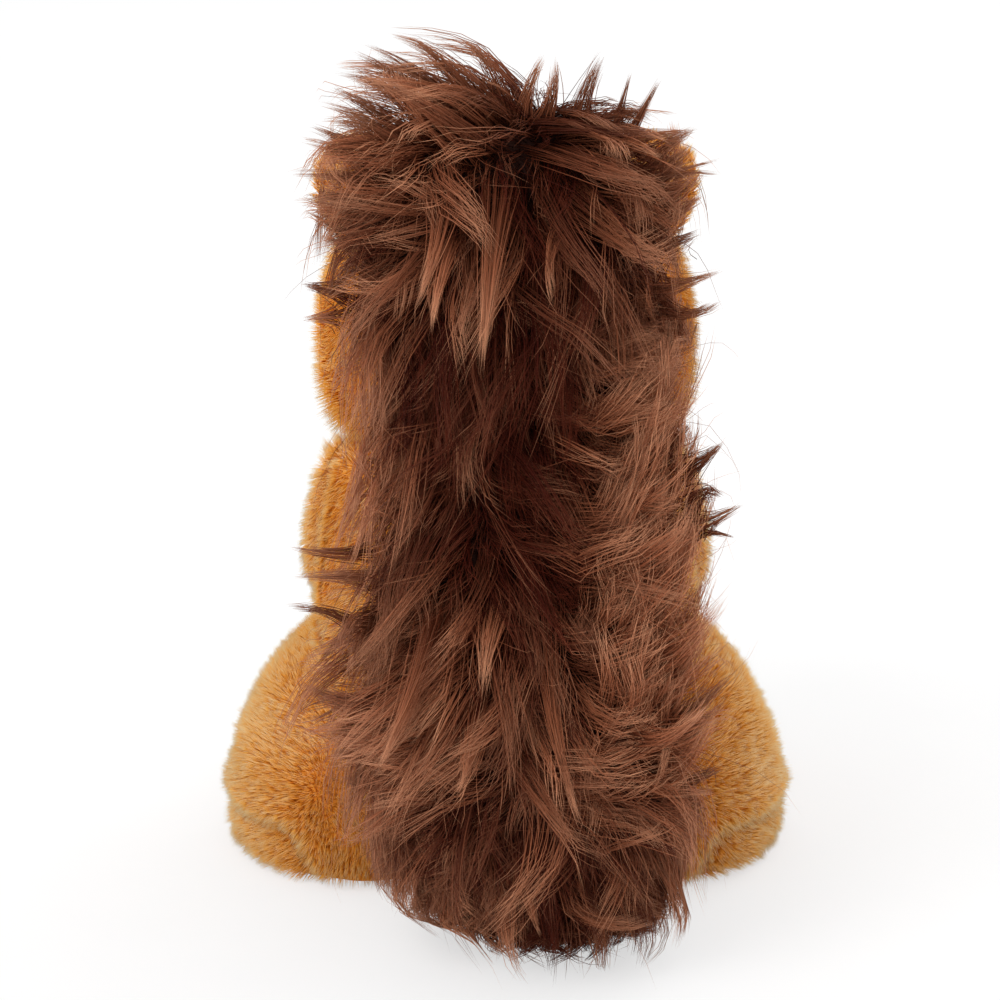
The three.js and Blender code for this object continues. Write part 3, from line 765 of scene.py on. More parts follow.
def makeFoot(name, side):
    form, haunch = footForm(side), haunchForm(side)
    body, middle, columns = f"{name}_foot", eggMiddle(form), 56

    def before(points):  # stops at the front of the haunch
        front = haunch.y - depthReach(haunch, points[..., 0], points[..., 2], 0.4)
        points[..., 1] = np.minimum(points[..., 1], front)
        return points

    def onSole(points):
        points[..., 2] = points[..., 2].clip(footSettings["floor"])
        return before(points)

    def press(points):  # fills its form again where the even mesh rounded it off, down to sole and haunch
        return onSole(middle + (points - middle) / eggRadius(points, form, -0.4)[:, None])

    rows = onSole(eggRows(form, footSettings["inset"], columns, 32))
    skin = padded(f"{name}_foot_skin", closed(rows), goldCloth, body, 0.8, f"{name}_foot_cover",
                  f"{name}_foot_stuffing", press=press)

    def blocked(points):
        return inAny(points, [(haunch, 0.6)]) | (points[:, 2] < footSettings["floor"] + 0.1)

    def flow(points):  # towards the toes
        return np.broadcast_to(np.array([0, -1.0, -0.5]), points.shape)

    settings = dict(footSettings, seed=footSettings["seed"] + side)
    pile(f"{name}_foot_pile", skin, settings, flow, blocked, goldCloth, body)

    full = widthShare(form, 1.0)  # the sole has the foot's outline near the floor
    sole = before(padRows(form.x, form.y, form.wide * full, form.deep * full, **soleSettings, sides=columns))
    padded(f"{name}_sole_skin", closed(sole), creamCloth, body, 0.3, f"{name}_sole_pad")


for name, side in sides.items():
    makeFoot(name, side)

# arms

armSettings = dict(inset=0.8, thick=13, joinVoxel=1.6, voxel=3.0, seed=51, density=3.8, length=3.9,
                   width=0.22, lean=36, tuft=1.9, draw=0.32, swirl=0.5, swirlSize=22)
forearmPath = [(41.5, -3.25, 82), (37.25, -29.6, 80.67), (33, -56, 78)]
forearmShares = np.array([(0.92, 0.92, 0), (0.84, 0.84, 0), (0.92, 0.92, 0)])


def makeArm(name, side):
    # upper arm egg and swept forearm, joined to one skin by small voxels and eased
    thick, body = armSettings["thick"], f"{name}_arm"
    upper, upperFaces = closed(eggRows(upperArmForm(side), armSettings["inset"], 48, 32))
    path, sizes = np.array(forearmPath) * (side, 1, 1), forearmShares * thick
    fore, foreFaces = closed(sweepRows(path, sizes, 0.6 * thick, 0.9 * thick, 48, 40, armSettings["inset"]))
    faces = np.vstack([upperFaces, foreFaces + len(upper)])
    both = piece("arm_parts", np.vstack([upper, fore]), faces, goldBacking)
    join = both.modifiers.new("join", "REMESH")
    join.mode, join.voxel_size = "VOXEL", armSettings["joinVoxel"] * mm
    ease = both.modifiers.new("ease", "SMOOTH")
    ease.factor, ease.iterations = 0.5, 6
    skin = corners(settled(both))
    bpy.data.objects.remove(both)

    def press(points):  # lies against the torso
        points[:, 0] = np.maximum(points[:, 0] * side, armSide(points)) * side
        return points

    skin = padded(f"{name}_arm_skin", skin, goldCloth, body, 0.8, f"{name}_arm_cover", f"{name}_arm_stuffing",
                  press=press, voxel=armSettings["voxel"])

    def blocked(roots):  # no hair in front that the swing would push into the torso
        swept = (roots[:, 0] * side < armSide(roots) + 0.2) & (roots[:, 1] < 6)
        return swept | inAny(roots, [(torsoForm, 0.2), (haunchForm(side), 0.4), (headForm, 0.3)])

    def flow(roots):  # down the upper arm, then forward along the forearm
        fore = between(roots[:, 1], -2, -16)[:, None]
        crease = between(roots[:, 0] * side - armSide(roots), 6, 0)[:, None]  # lies across it
        lay = (1 - fore) * np.array([0.1 * side, 0, -1.0]) + fore * np.array([-0.2 * side, -1.0, -0.15])
        top = between(roots[:, 2], 102, 110)[:, None]  # stands up towards the cheek
        return lay + crease * np.array([-1.6 * side, 0, 0]) + top * np.array([2.2 * side, 0.3, 2.0])

    def paintedShading(roots):  # painted light: paler all over, lifting the arm out of its shade, and paler still on the outside where light catches it
        return 0.9 + 0.7 * between(np.abs(roots[:, 0]), 40, 52)

    def longer(roots):  # fuller at the top of the arm
        return 1 + 0.4 * between(roots[:, 2], 102, 112)

    settings = dict(armSettings, seed=armSettings["seed"] + side)
    pile(f"{name}_arm_pile", skin, settings, flow, blocked, goldCloth, body, paintedShading, longer=longer)


for name, side in sides.items():
    makeArm(name, side)

# head, muzzle, nose and eyes

headSettings = dict(inset=0.8, floor=neckLevel + 0.3, seed=61, density=1.95, length=4.0, width=0.26, lean=34,
                    tuft=1.9, draw=0.32, swirl=0.55, swirlSize=22)
muzzleSettings = dict(inset=0.6, middle=137, tall=16, wide=22, proud=19, seed=65, density=2.8, length=2.6,
                      width=0.34, lean=46, tuft=2.2, draw=0.4, swirl=0.3, swirlSize=20)
eyeSettings = dict(wide=12, tall=5, rise=156, turn=29, clear=5.6)
noseSettings = dict(wide=13, tall=5, tilt=32, flatten=0.72, clear=4.4)
mouthSettings = dict(width=1.0, proud=1.9, top=142, fork=132, reach=8.5, curl=3.4)
muzzleMiddle, muzzleTall, muzzleWide = (muzzleSettings[key] for key in ("middle", "tall", "wide"))
faceFront = headForm.y - headForm.deep * float(widthShare(headForm, muzzleMiddle))
muzzleForm = eggForm(0, faceFront - muzzleSettings["proud"] + muzzleWide, muzzleWide, muzzleWide,
                     muzzleMiddle - muzzleTall, muzzleMiddle, muzzleMiddle + muzzleTall, 2.0)


def eggSeat(form, level, turn):  # point on an egg and its outward direction, turned away from straight ahead
    def spot(height):
        share = float(widthShare(form, height))
        return np.array([form.x + form.wide * share * math.sin(turn),
                         form.y - form.deep * share * math.cos(turn), height])
    across = np.array([form.wide * math.cos(turn), form.deep * math.sin(turn), 0])
    return spot(level), unit(np.cross(across, spot(level + 0.5) - spot(level - 0.5)))


eyeSeats = {name: eggSeat(headForm, eyeSettings["rise"], side * math.radians(eyeSettings["turn"]))
            for name, side in sides.items()}
noseSeat = eggSeat(muzzleForm, muzzleMiddle + muzzleTall * math.sin(math.radians(noseSettings["tilt"])), 0)


def nearAxis(points, seat, reach):  # close to the line through a seat
    gap = points - seat[0]
    return np.linalg.norm(gap - np.outer(gap @ seat[1], seat[1]), axis=1) < reach


def makeHead():
    def press(points):
        points = within(points, headForm)
        points[:, 2] = points[:, 2].clip(headSettings["floor"])
        return points

    rows = eggRows(headForm, headSettings["inset"])
    rows[..., 2] = rows[..., 2].clip(headSettings["floor"])
    skin = padded("head_skin", closed(rows), goldCloth, "head", 0.85, "head_cover", "head_stuffing",
                  "neck_stuffing", press=press)

    def blocked(points):
        away = points[:, 2] < neckLevel - 2
        for seat in eyeSeats.values():
            away |= nearAxis(points, seat, eyeSettings["clear"]) & (points[:, 1] < 0)
        return away | inAny(points, [(torsoForm, 0.3), (muzzleForm, 0.3)]) | nearTail(points, 0.5)

    def flow(points):  # away from the face
        x, y, z = points.T
        return np.stack([x * 0.7, y + 34, np.interp(z, [118, 132, 150, 190], [-40, 10, 0, -24])], 1)

    def cheek(points):  # 1 low on the cheeks, nothing elsewhere
        return np.interp(points[:, 2], [122, 128, 138], [1, 0.8, 0]) * between(np.abs(points[:, 0]), 26, 36)

    def upright(points):  # hair stands up on the cheeks
        return 1 - 0.7 * cheek(points)

    def longer(points):  # fuller cheeks
        return 1 + 0.8 * cheek(points)

    def paintedShading(points):  # painted shade: darker behind, where the tail shades the head
        return -0.6 * between(points[:, 1], -20, 10)

    pile("head_pile", skin, headSettings, flow, blocked, goldCloth, "head", paintedShading, upright, longer)

    rows = eggRows(muzzleForm, muzzleSettings["inset"], 64, 40)
    front = headForm.y - depthReach(headForm, rows[..., 0], rows[..., 2], 0.3)
    rows[..., 1] = np.minimum(rows[..., 1], front)
    skin = padded("muzzle_skin", closed(rows), creamCloth, "head", 0.85, "muzzle_cover", "muzzle_stuffing")

    def covered(points):  # by the head and the nose
        nose = nearAxis(points, noseSeat, noseSettings["clear"]) & (points[:, 1] < -45)
        return inAny(points, [(headForm, 0.4)]) | nose

    def outward(points):  # away from the nose
        return points - noseSeat[0]

    pile("muzzle_pile", skin, muzzleSettings, outward, covered, creamCloth, "head")


def stud(name, seat, settings, finish, flatten=1.0):
    # plastic stud: a dome on a short stem, one profile turned about the seat's direction
    turn = np.linspace(0, math.pi / 2, 18)
    half, stem, foot, under = settings["wide"] / 2, 2, -9, -0.6  # radii and levels along the stud
    radius = np.concatenate([[0, stem, stem, half - 0.5], half * np.cos(turn)])
    height = np.concatenate([[foot, foot, under, under], 0.3 + settings["tall"] * np.sin(turn)])
    angle = np.arange(48) * tau / 48
    up = seat[1]
    side = unit(np.cross(np.array([0, 0, 1.0]), up))
    over = np.cross(up, side)
    rows = (seat[0] + height[:, None, None] * up + (radius[:, None] * np.cos(angle))[..., None] * side
            + (radius[:, None] * np.sin(angle))[..., None] * over * flatten)
    points, faces = closed(rows)
    gap = points - seat[0]
    way = np.linalg.norm(gap - np.outer(gap @ up, up), axis=1) / half
    # 1 in the middle of the dome, less towards its rim, least at the back
    along = np.where(gap @ up > 0, 1 - 0.6 * way.clip(0, 1), 0.2)
    across = 0.5 + 0.5 * np.arctan2(gap @ over, gap @ side) / math.pi
    obj = piece(name, points, faces, finish, np.stack([across, along], 1)[faces.ravel()])
    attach(obj, "head")
    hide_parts(name.replace("_stud", ""))


def thread(name, x, z):
    # stitched line: a round thread carried along a curve on the front of the muzzle
    y = muzzleForm.y - depthReach(muzzleForm, x, z, 0) - mouthSettings["proud"]
    radius, sides = mouthSettings["width"] / 2, 10
    rows = sweepRows(np.stack([x, y, z], 1), np.full((len(x), 3), radius), radius, radius, sides, 40)
    points, faces = closed(rows)
    last = len(rows) - 1
    ring = np.concatenate([[0], np.repeat(np.arange(1, last), sides), [last]]) / last
    turn = np.concatenate([[0.5], np.tile(np.arange(sides) / sides, last - 1), [0.5]])
    maps = 0.01 + 0.98 * np.stack([turn, ring], 1)
    obj = piece(name, points, faces, mouthThread, maps[faces.ravel()])
    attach(obj, "head")


makeHead()
for name in sides:
    stud(f"{name}_eye_stud", eyeSeats[name], eyeSettings, eyePlastic)
stud("nose_stud", noseSeat, noseSettings, nosePlastic, noseSettings["flatten"])
thread("mouth_line", np.zeros(6), np.linspace(mouthSettings["top"], mouthSettings["fork"], 6))
for name, side in sides.items():
    bow = np.linspace(0, 1, 8)
    droop = mouthSettings["curl"] * np.sin(bow * math.pi * 0.62)
    thread(f"{name}_mouth_curl", side * mouthSettings["reach"] * bow, mouthSettings["fork"] - droop)
print("head ready")

# ears

earSettings = dict(tilt=20, root=(35, 4, 179.79), inset=0.6, seed=71, density=3.2, length=3.6, width=0.36,
                   lean=48, tuft=2.4, draw=0.42, swirl=0.3, swirlSize=18)
liningSettings = dict(earSettings, inset=0.3, seed=75, length=1.8, width=0.35, lean=50)
earLeaf = eggForm(0, 0, 13, 4, -10, 5, 20)
liningLeaf = eggForm(0, 0, 9.36, 5.5, -7.2, 5, 14.4)


def makeEar(name, side):
    tilt, body = math.radians(earSettings["tilt"]) * side, f"{name}_ear"
    turn = np.array([[math.cos(tilt), 0, math.sin(tilt)], [0, 1, 0], [-math.sin(tilt), 0, math.cos(tilt)]])
    root = np.array(earSettings["root"]) * (side, 1, 1)
    middle = eggMiddle(headForm)

    def placed(local):  # set on the head, what would lie inside the head brought out onto it
        points = local @ turn.T + root
        radius = eggRadius(points, headForm, 0.4)[..., None]
        return np.where(radius < 1, middle + (points - middle) / radius, points)

    rows = placed(eggRows(earLeaf, earSettings["inset"], 48, 28))
    skin = padded(f"{name}_ear_skin", closed(rows), goldCloth, body, 0.4, f"{name}_ear")
    local = eggRows(liningLeaf, liningSettings["inset"], 48, 24)
    local[..., 1] = np.minimum(local[..., 1], -depthReach(earLeaf, local[..., 0], local[..., 2], 0.0))
    lining = padded(f"{name}_ear_lining_skin", closed(placed(local)), liningCloth, body, 0.3,
                    f"{name}_ear_lining")

    def blocked(points):  # by the head and the lining
        x, y, z = ((points - root) @ turn).T
        return inAny(points, [(headForm, 0.4)]) | ((np.hypot(x / 8.6, (z - 4) / 10) < 1) & (y < -2))

    def hidden(points):  # by the head and the ear
        return inAny(points, [(headForm, 0.4)]) | (((points - root) @ turn)[:, 1] > -3.9)

    def flow(points):  # towards the tip of the ear
        return np.broadcast_to(turn[:, 2], points.shape)

    for label, cover, settings, taken, cloth in (("ear", skin, earSettings, blocked, goldCloth),
                                                 ("lining", lining, liningSettings, hidden, liningCloth)):
        own = dict(settings, seed=settings["seed"] + side)
        pile(f"{name}_{label}_pile", cover, own, flow, taken, cloth, body)


for name, side in sides.items():
    makeEar(name, side)

# tail

tailSettings = dict(split=107.5, bendDepth=85, brushReach=7.5, most=190000, seed=85, floor=0.5, clear=1.5,
                    behind=(124, 12), top=(240, 8), crestRoom=13, lower=("torso", "tail_middle", 46, 80),
                    upper=("tail_middle", "tail_tip", 136, 168))
# the underfur's tone is set darker (shade) to paint shade into the gaps between the locks
underFur = dict(seed=83, density=0.78, length=16, width=0.27, lock=4.0, draw=0.6, lift=0.5, points=4,
                loose=0.12, stray=0.45, shade=-0.15, lowest=0.8)
guardHair = dict(seed=87, density=0.66, length=34, width=0.26, lock=6.5, draw=0.88, lift=0.34, points=6,
                 loose=0.035, stray=0.36, shade=0.07, lowest=0.8)
flyHair = dict(seed=91, density=0.05, length=30, width=0.16, lock=0.7, draw=0.0, lift=0.5, points=6,
               loose=0.25, stray=0.8, shade=0.0, lowest=40)
tuftSettings = dict(seed=97, width=0.24, sunk=0, shade=0.55, depths=[71, 79, 99, 93, 87, 91, 98, 101])
streakSettings = dict(seed=99, width=0.24, sunk=9, shade=0.9, depths=[94, 108, 127, 121, 116, 120, 122, 122])
toneSettings = dict(base=0.1, edge=0.6, edgePower=2.6, lightShare=0.6, light=0.75, rest=0.1, dark=0.26,
                    brightShare=0.1, bright=0.3, lockSpread=0.23, hairSpread=0.07)
tailLevels = [0, 25, 62, 107, 152, 192, 212]
tailMiddle = [61, 71, 93, 87, 81, 85, 93]  # depth of the middle line at those levels
levelTones = [10, 40, 60, 100, 125, 195], [0.04, 0.06, 0.13, 0.1, 0.0, 0.04]  # paler by level
wildLocks = [38, 52, 84, 98, 150, 165], [0, 1, 1, 0.45, 0.45, 0.1]  # how far locks stray, by level
crestLine = [-40, -6, 6], [212, 219, 227]  # highest level by place across, falling to the right
bottomLine = [-50, -44, -36, -28, 0, 8, 30], [18, 11, 4, 0, 0, 8, 15]  # lowest level by place across
combed = np.array([  # level, then how far the brushed hair reaches to the left and to the right
    (0, 0, 36), (8, 2, 40), (14, 6, 44), (19, 10, 46), (23, 25, 46), (33, 33, 42), (46, 37, 46), (57, 39, 50),
    (67, 41, 46), (77, 40, 42), (93, 39, 43), (109, 36, 45), (124, 34, 46), (137, 36, 42), (150, 39, 39),
    (177, 44, 39), (203, 43, 42), (213, 42, 42), (229, 38, 33), (245, 34, 28)])
brushed = np.array([  # place across and up the back of the tail, then the way the hair is brushed there
    (-8, 231, -0.14, 0.99), (1, 231, 0.80, 0.60), (11, 226, 0.84, 0.55), (19, 218, 0.93, 0.36),
    (26, 208, 0.96, 0.27), (29, 198, 0.99, -0.12), (-17, 229, -0.47, 0.88), (-26, 226, -0.95, 0.30),
    (-33, 218, -0.95, 0.30), (-36, 209, -0.80, 0.60), (-36, 200, -0.60, 0.80), (-37, 190, -0.55, 0.83),
    (-3, 221, 0.10, -1.00), (6, 218, 0.32, -0.95), (16, 208, 0.21, -0.98), (-13, 221, -0.12, -0.99),
    (-23, 218, -0.26, -0.97), (-8, 211, -0.10, -0.99), (-18, 208, -0.22, -0.98), (-27, 204, -0.35, -0.94),
    (4, 200, 0.10, -1.00), (-10, 198, -0.14, -0.99), (-21, 193, -0.13, -0.99),
    (-30, 182, -0.13, -0.99), (29, 186, 0.95, -0.31), (32, 177, 0.36, -0.93), (32, 162, 0.07, -1.00),
    (32, 139, 0.06, -1.00), (21, 172, 0.13, -0.99), (9, 161, -0.12, -0.99), (16, 145, 0.38, -0.93),
    (1, 151, 0.36, -0.93), (-8, 157, -0.08, -1.00), (-13, 137, -0.36, -0.93), (-3, 131, -0.43, -0.90),
    (1, 117, -0.83, -0.56), (-33, 153, -0.57, 0.82), (-36, 137, -0.38, 0.93), (-33, 122, -0.47, 0.88),
    (-36, 105, -0.46, 0.89), (-28, 96, -0.42, 0.91), (-33, 81, -0.45, 0.89), (-26, 64, -0.43, 0.90),
    (-34, 70, -0.88, 0.48), (-36, 59, -0.97, 0.23), (14, 115, 0.41, -0.91), (21, 115, 0.61, -0.79),
    (26, 105, 0.62, -0.78), (19, 95, 0.76, -0.64), (16, 85, 0.77, -0.63), (16, 69, 0.84, -0.54),
    (14, 56, 0.94, -0.35), (9, 105, 0.12, -0.99), (6, 85, 0.02, -1.00), (1, 100, -0.29, -0.96),
    (-3, 79, -0.20, -0.98), (-13, 82, -0.29, -0.96), (-16, 64, -0.41, -0.91), (19, 42, 0.63, -0.77),
    (9, 36, 0.31, -0.95), (-1, 42, 0.05, -1.00), (-10, 39, -0.05, -1.00), (-21, 36, -0.18, -0.98),
    (-31, 39, -0.49, -0.87), (-36, 47, -0.63, -0.78), (-23, 49, -0.79, -0.62)])
tufted = np.array([  # stray tufts: across and up at the root, then at the point, spread and upward bow
    (1, 217, 27, 247, 3.6, 4), (6, 217, 33, 242, 3.4, 4), (10, 218, 36, 240, 3, 3),
    (15, 217, 40, 236, 3.2, 3), (18, 216, 42, 231, 3, 2), (20, 215, 44, 228, 3, 2),
    (22, 213, 44, 223, 3, 2), (25, 210, 47, 221, 3, 2), (27, 206, 49, 218, 3, 2),
    (26, 203, 52, 210, 2.2, 1), (29, 199, 50, 203, 3, 1), (30, 193, 49, 199, 3, 0),
    (30, 188, 46, 193, 3, 0), (-2, 220, 11, 245, 1.6, 6), (-4, 220, -9, 239, 2.2, 0),
    (-7, 220, -12, 239, 2.4, 0), (-17, 218, -23, 239, 3, 0), (-26, 218, -30, 235, 1, 0),
    (-29, 218, -37, 234, 1.4, 0), (-21, 219, -35, 224, 3, 4), (-24, 216, -45, 220, 2.4, 3),
    (-32, 211, -45, 217, 2.6, -2), (-34, 206, -52, 213, 1, 0), (-34, 205, -52, 209, 1, 0),
    (-30, 202, -44, 212, 3, 2), (-36, 180, -53, 184, 2.2, -2), (-37, 175, -53, 176, 2, -2),
    (27, 104, 53, 106, 2.6, 0), (34, 112, 54, 113, 1.6, 0), (36, 92, 55, 98, 1.6, 3),
    (35, 92, 47, 85, 2.2, 4), (38, 177, 50, 180, 2.2, 0), (39, 172, 50, 171, 2.2, 0),
    (-44, 132, -54, 140, 2, -2), (-46, 124, -54, 127, 2.2, 0), (-48, 119, -59, 124, 2.2, -2),
    (-49, 116, -57, 116, 1, 0), (-42, 133, -47, 142, 1.4, 0), (-40, 137, -46, 145, 1.4, 0),
    (-33, 66, -57, 82, 3.6, -3), (-34, 62, -56, 75, 3.6, -2), (-35, 58, -51, 67, 3, -1),
    (-36, 52, -55, 57, 3, -1), (-36, 46, -53, 49, 2.4, 0), (26, 78, 53, 79, 3.6, -4),
    (27, 70, 47, 66, 3.6, -3), (27, 62, 45, 60, 3.6, -2), (27, 53, 42, 54, 3.4, -2),
    (-33, 212, -46, 221, 2.8, 0), (-34, 203, -47, 210, 3.2, 1), (-35, 196, -48, 203, 3.2, 1),
    (-36, 188, -47, 194, 2.8, 1)])
streaked = np.array([  # light locks that hang over the back, in the same columns
    (15, 207, 22, 181, 2, 0), (1, 210, 6, 165, 2.8, 0), (12, 198, 18, 175, 1.6, 0),
    (-14, 200, -11, 183, 1.3, 0), (-10, 95, -19, 50, 2.2, -3), (17, 102, 32, 66, 2.2, -4),
    (8, 80, 12, 60, 1.8, 0), (-3, 37, -2, 12, 1.8, 0), (-5, 35, -9, 12, 1.6, 0),
    (-12, 27, -38, 18, 2.0, -3), (-33, 72, -50, 84, 2.0, -2)])
# light locks, and pits darkened with painted shade: across, up and reach
lightLocks = np.array([(20, 191, 7), (14, 193, 5), (5, 184, 8), (-17, 81, 8), (-21, 59, 7), (0, 23, 6),
                       (16, 96, 8), (21, 65, 9), (26, 81, 8), (-37, 158, 9), (-38, 117, 12), (33, 140, 6),
                       (-34, 96, 10)])
shadedPits = np.array([(-10, 203, 9), (6, 202, 6), (-3, 171, 9), (19, 157, 9), (14, 117, 8), (-16, 95, 8),
                     (-6, 21, 8), (-13, 148, 14), (-13, 122, 14)])
paleZones = [  # how much paler, then by place across and by level
    (0.9, [-38, -27, -12, 0, 9], [0.9, 0.35, 0, 0, 1], [198, 220], [0, 1]),
    # the second zone is painted light: it lifts the toy's right side of the tail, which lies away from the
    # key lamp
    (0.6, [-30, -14], [1, 0], [45, 65, 150, 170], [0, 1, 1, 0]),
    (0.5, [22, 32], [0, 1], [110, 120, 165, 175], [0, 1, 1, 0])]


def tailRows():
    # stuffed tube: ellipses carried along the tail's path, kept above the floor and behind the torso
    rows = sweepRows(tailPath, np.c_[tailSizes, tailSizes[:, :1] * 0], 2, 12, 72, 120)
    rows[..., 2] = rows[..., 2].clip(tailSettings["floor"])
    back = depthReach(torsoForm, rows[..., 0], rows[..., 2], 0.3)
    rows[..., 1] = np.maximum(rows[..., 1], np.where(rows[..., 2] < neckLevel, back, -99))
    return rows


def tailFlow(points):
    # lay of the long pile: nearby brush strokes weighed by distance on the back, hanging down on the front
    x, y, z = points.T
    away = (x[:, None] - brushed[:, 0]) ** 2 + (z[:, None] - brushed[:, 1]) ** 2
    weight = np.exp(-away / (2 * tailSettings["brushReach"] ** 2)) + 1e-7
    lay = weight @ brushed[:, 2:] / weight.sum(1)[:, None]
    lay = unit(np.stack([lay[:, 0], 0 * x, lay[:, 1]], 1))
    front = between(y - np.interp(z, tailLevels, tailMiddle), -6, -18)[:, None]
    hang = unit(np.stack([x / 60, -0.1 + 0 * x, -np.ones(len(x))], 1))
    low = between(z, 30, 4)[:, None]
    return lay * (1 - front) + hang * front + low * np.array([0, 0.9, 0.5])


def blendTail(obj):  # bakes its placement into the mesh
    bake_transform(obj)


def softLimit(values, start, room):  # past the start, start + room x (1 - e^(-excess / room))
    return np.minimum(values, start) + room * (1 - np.exp(-(values - start).clip(0) / room))


def lockPath(middle, out, stray, length, steps):
    # way of each lock: short steps along the surface, each following the brush strokes where it has got to
    path = [np.zeros_like(middle)]
    for _ in range(steps - 1):
        way = unit(tailFlow(middle + path[-1] * length[:, None])) + stray
        path.append(path[-1] + unit(way - out * np.einsum("ij,ij->i", way, out)[:, None]) / (steps - 1))
    return np.stack(path, 1)


def lockTones(spot, shade, dice):
    # tone of each lock: paler towards the outline, in the pale zones and light locks, darker in the pits as
    # painted shade
    x, _, z = spot.T
    level, left, right = combed.T
    edge = np.abs(x - np.interp(z, level, left - right) / 2) / np.interp(z, level, (left + right) / 2)
    tone = toneSettings["base"] + toneSettings["edge"] * edge.clip(0, 1.1) ** toneSettings["edgePower"]
    tone = tone + shade + np.interp(z, *levelTones)
    for amount, places, across, levels, up in paleZones:
        tone = tone + amount * np.interp(x, places, across) * np.interp(z, levels, up)
    light, dark = (np.exp(-((x[:, None] - spots[:, 0]) ** 2 + (z[:, None] - spots[:, 1]) ** 2)
                          / (2 * spots[:, 2] ** 2)).max(1) for spots in (lightLocks, shadedPits))
    many = dice.random(len(spot)) < toneSettings["lightShare"]
    light = light * np.where(many, toneSettings["light"], toneSettings["rest"])
    tone = tone + light - dark * toneSettings["dark"]
    few = dice.random(len(spot)) < toneSettings["brightShare"]
    tone = tone + np.where(few, toneSettings["bright"], 0)
    return tone + dice.normal(0, toneSettings["lockSpread"], len(spot))


def bottomTrim(spines, roots, stray):
    # hairs that hang past the rounded bottom are shortened to it, less where they lie nearer the body
    tip = spines[:, -1]
    ending = np.interp(tip[:, 0], *bottomLine) + stray
    ending = np.interp(tip[:, 1], [80, 105], [0.5, 1]) * ending
    short = ((roots[:, 2] - ending) / (roots[:, 2] - tip[:, 2]).clip(1)).clip(0.3, 1)
    short = np.where((tip[:, 2] < ending) & (roots[:, 2] > tip[:, 2]), short, 1)
    return roots[:, None] + (spines - roots[:, None]) * short[:, None, None]


def longHair(skin, settings):
    # long pile: hairs of a lock share one arc, rising then laying over, and draw together towards its tip
    dice = np.random.default_rng(settings["seed"])
    roots, normals = rootsOn(*skin, settings["density"], dice)
    thin = np.interp(normals[:, 1], [-0.7, -0.1], [0.25, 1.0])  # fewer on the side against the back
    free = ~inAny(roots, [(torsoForm, 1.0), (headForm, 1.0)]) & (roots[:, 2] > settings["lowest"])
    free &= dice.random(len(roots)) < thin
    roots, normals = roots[free], normals[free]
    lock, count = locksOf(roots, settings["lock"], settings["seed"] + 1)
    number = len(count)
    middle = lockMean(roots, lock, count)
    out = unit(lockMean(normals, lock, count))
    stray = drift(middle, 22, settings["seed"] + 2) * 0.45 + dice.normal(0, settings["stray"], (number, 3))
    lift = settings["lift"] * dice.uniform(0.4, 1.7, number) + np.interp(middle[:, 2], [196, 222], [0, 0.4])
    length = settings["length"] * dice.uniform(0.55, 1.25, number)
    length = length * np.interp(middle[:, 2], [0, 24, 50], [0.36, 0.6, 1.0])
    path = lockPath(middle, out, stray, length, settings["points"])
    lay = unit(path[:, -1])
    left, right = (np.interp(middle[:, 2], combed[:, 0], combed[:, side]) for side in (1, 2))
    fan = np.interp(middle[:, 2], *wildLocks)
    room = np.where(lay[:, 0] > 0, left - middle[:, 0], right + middle[:, 0])
    room = room + dice.normal(2, 3, number) + 7 * fan
    length = np.minimum(length, room.clip(9) / np.abs(lay[:, 0]).clip(0.1))  # trimmed to the outline
    along = np.linspace(0, 1, settings["points"])
    rise = (1 - (1 - along) ** 1.8)[None, :, None]
    sag = (along ** 2.2)[None, :, None] * np.array([0, 0, -0.1])
    own = dice.uniform(0.7, 1.1, len(roots))[:, None, None]
    loose = dice.normal(0, settings["loose"], (len(roots), 1, 3)) * along[None, :, None]
    arc = (out * lift[:, None])[lock][:, None] * rise + path[lock] * 0.94 + sag + loose
    draw = settings["draw"] * np.where(dice.random(len(roots)) < 0.12, 0.2, 1.0)
    pull = (along ** 1.4)[None, :, None] * draw[:, None, None]
    spines = roots[:, None] + arc * (length[lock][:, None, None] * own)
    spines = spines + (middle[lock] - roots)[:, None] * pull
    wave = np.sin(along * dice.uniform(3, 8, (number, 1)) + dice.uniform(0, tau, (number, 1)))[lock]
    swing = (np.cross(out, lay) * dice.uniform(0.6, 3.6, (number, 1)))[lock]
    spines = spines + swing[:, None] * (wave * along)[..., None]
    spines = bottomTrim(spines, roots, dice.normal(0, 2, number)[lock])
    x, y, z = np.moveaxis(spines, 2, 0)
    low, wild = between(z, 45, 20), fan[lock][:, None]
    seen = z + (115 - y).clip(0) * 0.4 * low  # hair nearer the body is seen higher up
    ragged = dice.normal(0, 3.5, number)[lock][:, None] * (0.2 + 0.8 * between(z, 10, 50) + 0.6 * wild)
    left, right = (np.interp(seen, combed[:, 0], combed[:, side]) + ragged for side in (1, 2))
    spines[..., 0] = x - ((x - left).clip(0) - (-right - x).clip(0)) * (0.7 + 0.25 * low - 0.45 * wild)
    crest = np.interp(spines[..., 0], *crestLine)
    spines[..., 2] = softLimit(z, crest, tailSettings["crestRoom"]).clip(tailSettings["floor"])
    spines[..., 1] = softLimit(y, *tailSettings["behind"])
    bodies = [(torsoForm, tailSettings["clear"]), (headForm, tailSettings["clear"])]
    keep = ~inAny(spines[:, -1], bodies) & ~inAny(spines[:, settings["points"] // 2], bodies)
    spot = middle + (lay * 0.4 + out * lift[:, None] * 0.5) * length[:, None]  # where a lock is seen
    tone = lockTones(spot, settings["shade"], dice)[lock]
    tone = tone + dice.normal(0, toneSettings["hairSpread"], len(roots))
    width = settings["width"] * dice.uniform(0.7, 1.15, len(roots))
    return spines[keep], width[keep], tone[keep], roots[keep]


